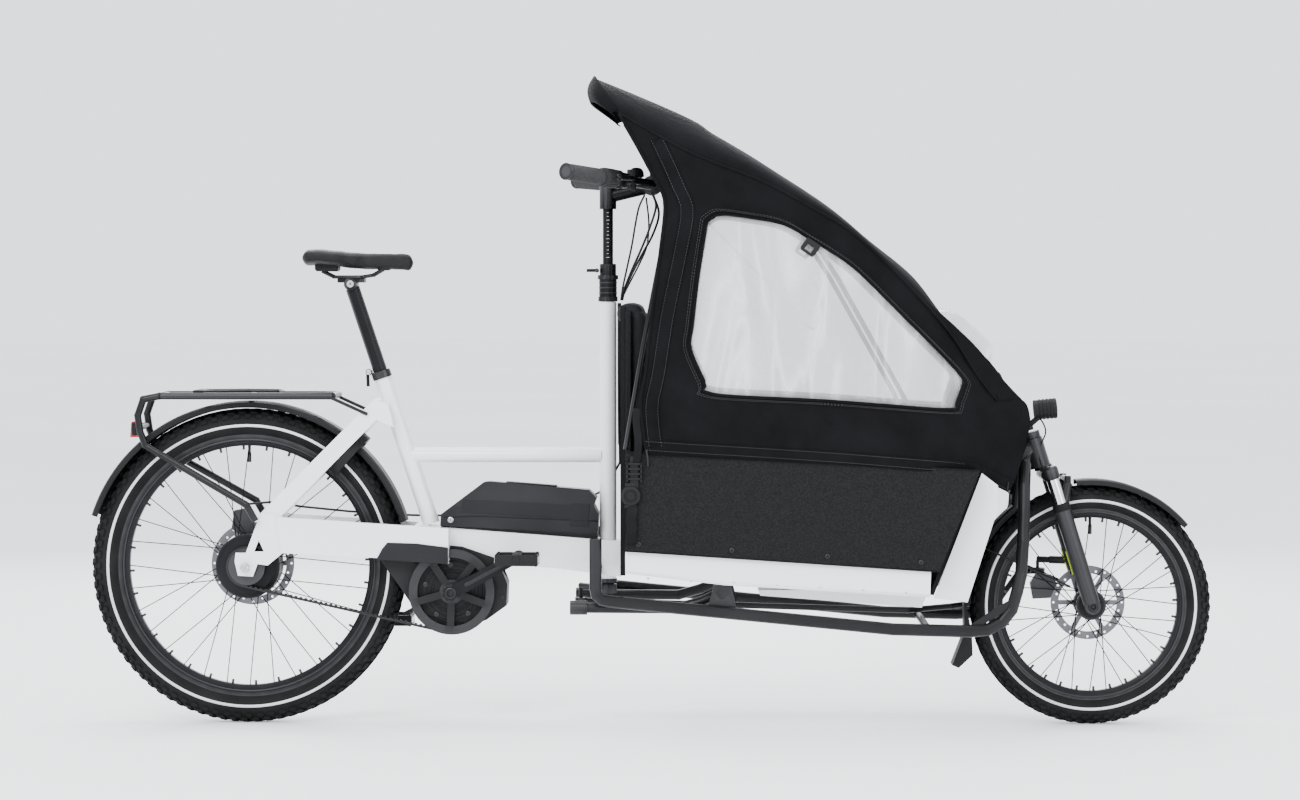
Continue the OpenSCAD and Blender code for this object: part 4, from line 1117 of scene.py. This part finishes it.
boxes("battery_handle", [((-0.255, 0, 0.5155), (0.110, 0.030, 0.004), tilted(-0.075))], PLASTIC, "frame",
      0.0015)
# shroud that carries the motor's casing line over the chainstay's lower edge
SHROUD = [(-0.5840, 0.3575), (-0.5720, 0.3800), (-0.5605, 0.3940), (-0.4980, 0.3920), (-0.4306, 0.3835),
          (-0.4306, 0.3480), (-0.5050, 0.3520)]
bm = bmesh.new()
add_slab(bm, *[[(x, y, z) for x, z in SHROUD] for y in (-0.0758, -0.0784)])
shroud = to_object(bm, "motor_shroud", COVER, "frame", smooth=False)
modify(shroud, "BEVEL", width=0.001, segments=2)

MOTOR_SCREWS = ((-0.560, 0.375), (-0.400, 0.372), (-0.335, 0.345), (-0.316, 0.275), (-0.372, 0.226),
                (-0.500, 0.252))
for side, tag in SIDES:
    out = (0, side, 0)
    for k, r in enumerate((44, 53, 62)):
        turned("motor_ring_%s_%d" % (tag, k), (CRANK_AXLE.x, side * 0.0410, CRANK_AXLE.z), out,
               [(r, -0.6), (r + 1.2, 0.8), (r + 3.4, 0.8), (r + 4.6, -0.6)], COVER, "frame",
               steps=72)
    for k, (x, z) in enumerate(MOTOR_SCREWS):
        turned("motor_screw_%s_%d" % (tag, k), (x, side * 0.0410, z), out,
               [(1.2, -0.5), (4, -0.5), (4, 1.2), (3.2, 1.8), (1.2, 1.8)], ANODISED, "frame", steps=20)
    arm = radial(CRANK_UP if side < 0 else CRANK_UP + pi)
    turned("crank_bolt_" + tag, (CRANK_AXLE.x, side * 0.0955, CRANK_AXLE.z), out,
           [(2.5, -3), (11.8, -3), (11.8, 0.6), (10, 1.6), (7, 1.6), (6, -1), (2.5, -1)], ANODISED, "cranks",
           steps=36)
    channel = CRANK_AXLE + arm * 0.084 + Vector((0, side * 0.0932, 0))
    boxes("crank_channel_" + tag, [(channel, (0.098, 0.0012, 0.0075), (arm, Y_AXIS, (-arm.z, 0, arm.x)))],
          BLACK_PAINT, "cranks", 0.0005)
    # pedal: reflectors, tread pins and end cap
    pedal, body = CRANK_AXLE + arm * 0.165, "pedal_" + tag
    reflectors = [(pedal + Vector((x, side * y, 0)), (0.0016, 0.034, 0.0125))
                  for x in (-0.0456, 0.0456) for y in (0.125, 0.165)]
    boxes("pedal_reflectors_" + tag, reflectors, AMBER, body, 0.0005)
    pins = [(pedal + Vector((x, side * y, z)), (0.0034, 0.0034, 0.0016)) for x in (-0.041, 0.041)
            for y in (0.104, 0.118, 0.134, 0.150, 0.166, 0.182, 0.1885) for z in (-0.0122, 0.0122)]
    boxes("pedal_pins_" + tag, pins, RUBBER, body, 0.0004)
    turned("pedal_cap_" + tag, pedal + Vector((0, side * 0.1918, 0)), out,
           [(1, 0), (8.5, 0), (8, 1.4), (1, 2)], PLASTIC, body, steps=28)

# belt teeth on the inner side of each run with a rib on its back, and the ring's bolts
bm = bmesh.new()
run = REAR_AXLE - CRANK_AXLE
slope, lean = atan2(run.z, run.x), acos((RING_R - SPROCKET_R) / run.length)
for s in (-1, 1):
    n = radial(slope + s * lean)
    a, b = CRANK_AXLE + n * (RING_R - 0.003), REAR_AXLE + n * (SPROCKET_R - 0.003)
    d = (b - a).normalized()
    for k in range(int((b - a).length / TOOTH_PITCH)):
        at = a + d * (k + 0.5) * TOOTH_PITCH + Vector((0, BELT_Y, 0))
        add_box(bm, at, (0.0055, 0.0104, 0.0024), (d, Y_AXIS, n))
        add_box(bm, at + n * 0.0051, (0.0016, 0.0104, 0.0007), (d, Y_AXIS, n))
to_object(bm, "belt_teeth", BELT, "frame", smooth=False)
for k in range(5):
    turned("ring_bolt_%d" % k, CRANK_AXLE + radial(radians(72 * k + 20), 0.058, -0.0612), (0, -1, 0),
           [(1.5, -1), (5, -1), (5, 0.8), (4, 1.4), (1.5, 1.4)], ANODISED, "cranks", steps=24)

# ---------- hubs ----------

for end, centre, r, half, metal in (("rear", REAR_AXLE, 64, 0.034, ANODISED),
                                    ("front", FRONT_AXLE, 19, 0.020, STEEL)):
    for s, tag in SIDES:
        turned("%s_hub_ring_%s" % (end, tag), centre + Vector((0, s * half, 0)), (0, s, 0),
               [(r * 0.72, -1), (r * 0.96, -1), (r * 0.93, 1.2), (r * 0.76, 1.2)], metal, end + "_wheel",
               steps=64)
for s, tag in SIDES:
    turned("rear_axle_nut_" + tag, REAR_AXLE + Vector((0, s * 0.0832, 0)), (0, s, 0),
           [(1, -1), (10, -1), (10, 4.5), (8, 5.8), (1, 5.8)], STEEL, "frame", steps=6)
    turned("front_axle_cap_" + tag, FRONT_AXLE + Vector((0, s * 0.0710, 0)), (0, s, 0),
           [(2.5, -1), (10, -1), (10.5, 1.8), (9, 3.8), (6, 4), (5.5, 1.5), (2.5, 1.5)], ANODISED,
           "fork_lowers", steps=40)

# ---------- fork, headlight and fenders ----------

HEAD_FOOT, CROWN_HEIGHT = Vector((0.826, 0, 0.600)), 0.537
crown = HEAD_FOOT + HEAD_UP * ((CROWN_HEIGHT - HEAD_FOOT.z) / HEAD_UP.z)
for s, tag in SIDES:
    top = crown + Vector((0.012, s * 0.058, 0.0038))
    turned("stanchion_" + tag, top, -HEAD_UP, [(13, 12), (14.03, 12), (14.03, 70), (13, 70)], CHROME, "fork")
    turned("fork_seal_" + tag, top, -HEAD_UP,
           [(14.45, 66), (17.2, 66), (18.8, 70), (18.8, 80), (18.2, 82), (14.45, 82)], RUBBER, "fork_lowers")
    turned("fork_cap_" + tag, top, HEAD_UP,
           [(1, 9.5), (16.8, 9.5), (16.8, 12), (14, 15), (8.5, 15.5), (8, 13), (1, 13)], ANODISED, "fork",
           steps=40)
    lime = [top - HEAD_UP * d + Vector((-0.0182, -s * 0.004, -0.0055)) for d in (0.168, 0.185, 0.202, 0.220)]
    tube_piece("fork_stripe_" + tag, lime, 0.0012, LIME, "fork_lowers")
lamp, lamp_axis = Vector((0.872, 0, 0.680)), Vector((1, 0, 0.087))
turned("headlight_bezel", lamp, lamp_axis,
       [(16.5, -6), (21.5, -6), (22.2, -2), (21.5, 2), (18.2, 2.6), (17.2, -1)], PLASTIC, "fork")
turned("headlight_lens", lamp, lamp_axis,
       [(0.8, -2), (17.2, -2), (16, 1.2), (10, 2.8), (0.8, 3.4)], LENS, "fork")
fins = [(r, w + 8 * k) for k in range(4) for r, w in ((22.2, 8), (22.2, 11.5), (20.9, 12.5), (20.9, 14.5))]
turned("headlight_fins", lamp, -lamp_axis, [(20.5, 6)] + fins + [(20.5, 40)], PLASTIC, "fork")
tube_piece("headlight_wire", [(0.836, -0.004, 0.661), (0.846, -0.010, 0.646), (0.850, -0.014, 0.628),
                              (0.842, -0.016, 0.606), (0.836, -0.020, 0.580), (0.842, -0.024, 0.556)],
           0.0016, HOSE, "fork")
for name, centre, r, half, first, last, body in (
        ("rear_fender_bead", REAR_AXLE, 0.3434, 0.0335, 18, 160, "frame"),
        ("front_fender_bead_a", FRONT_AXLE, 0.2592, 0.0325, 41, 96, "fork_lowers"),
        ("front_fender_bead_b", FRONT_AXLE, 0.2592, 0.0325, 129, 179, "fork_lowers")):
    bm = bmesh.new()
    for s in (-1, 1):
        arc = [centre + radial(radians(a), r, s * half) for a in range(first, last + 1, 2)]
        add_tube(bm, arc, 0.0016, 8)
    to_object(bm, name, PLASTIC, body)

# ---------- rear light, carrier and seat details ----------

boxes("tail_light_bezel", [((-1.1105, 0, 0.6348), (0.0120, 0.0640, 0.0300), tilted(0.06))], PLASTIC, "frame",
      0.004)
light_ribs = [((-1.1190 + 0.0009 * k, 0, 0.6220 + k * 0.0040), (0.0014, 0.054, 0.0012)) for k in range(7)]
boxes("tail_light_ribs", light_ribs, RED, "frame", 0.0003)
FLAP = [(-0.965, 0.050, 0.7165), (-0.880, 0.046, 0.7175), (-0.810, 0.040, 0.7170), (-0.795, 0.020, 0.7165),
        (-0.792, 0.0, 0.7165)]
bm = bmesh.new()
for s in (-1, 1):
    add_tube(bm, smooth3([flip(p, s) for p in FLAP]), 0.0024, 8)
to_object(bm, "carrier_spring_flap", BLACK_PAINT, "frame")
boxes("carrier_spring_bracket", [((-0.968, 0, 0.7150), (0.022, 0.118, 0.009)),
                                 ((-0.690, 0, 0.7125), (0.018, 0.060, 0.006))], PLASTIC, "frame", 0.002)
turned("seat_collar_lip", (-0.5811, 0, 0.7575), (-0.316, 0, 0.9488),
       [(16, -1), (20.5, -1), (20.5, 1.2), (18, 2.6), (16, 2.6)], ANODISED, "frame")
turned("seat_lever_pin", (-0.606, -0.0100, 0.757), (0, -1, 0),
       [(1, -20.5), (2.8, -20.5), (2.8, 0), (5.8, 0), (5.4, 3.5), (1, 4.2)], STEEL, "frame", steps=28)
turned("saddle_clamp_bolt", (-0.644, -0.0222, 0.947), (0, -1, 0),
       [(2, -1), (8, -1), (7.5, 2.8), (4.5, 3), (4, 1.2), (2, 1.2)], STEEL, "seat", steps=28)

# ---------- cargo box details ----------

# (name, points as (x, z), place across, radius, material, slot)
EDGES = (("panel_edge_top_", ((-0.0478, 0.5955), (0.150, 0.5845), (0.400, 0.5718), (0.688, 0.5570)), PANEL_Y,
          0.0016, PANEL, "box_panel"),
         ("panel_edge_low_", ((-0.0478, 0.3880), (0.606, 0.3462)), PANEL_Y, 0.0014, PANEL, "box_panel"),
         ("tray_lip_", ((-0.047, 0.3435), (0.160, 0.3195), (0.589, 0.2945)), TRAY_Y, 0.0022, WHITE,
          "white_frame"))
for s, tag in SIDES:
    for name, line, y, radius, material, slot in EDGES:
        points = [(x, s * y, z) for x, z in line]
        tube_piece(name + tag, points, radius, material, "frame", smooth=False)
    for k, x in enumerate((-0.020, 0.175, 0.375, 0.570)):
        turned("panel_screw_%s_%d" % (tag, k), (x, s * 0.2320, 0.402 - 0.0625 * (x + 0.020)), (0, s, 0),
               [(1.6, -1), (4.8, -1), (4.6, 1), (3, 1.8), (2.6, 0.6), (1.6, 0.6)], ANODISED, "frame", steps=24)
    boxes("tray_rivets_" + tag, [((x, s * (TRAY_Y + 0.0004), 0.330 - 0.055 * x), (0.005, 0.0016, 0.005))
                                 for x in (0.0, 0.09, 0.18, 0.27, 0.36, 0.45, 0.54)], STEEL, "frame", 0.0008)
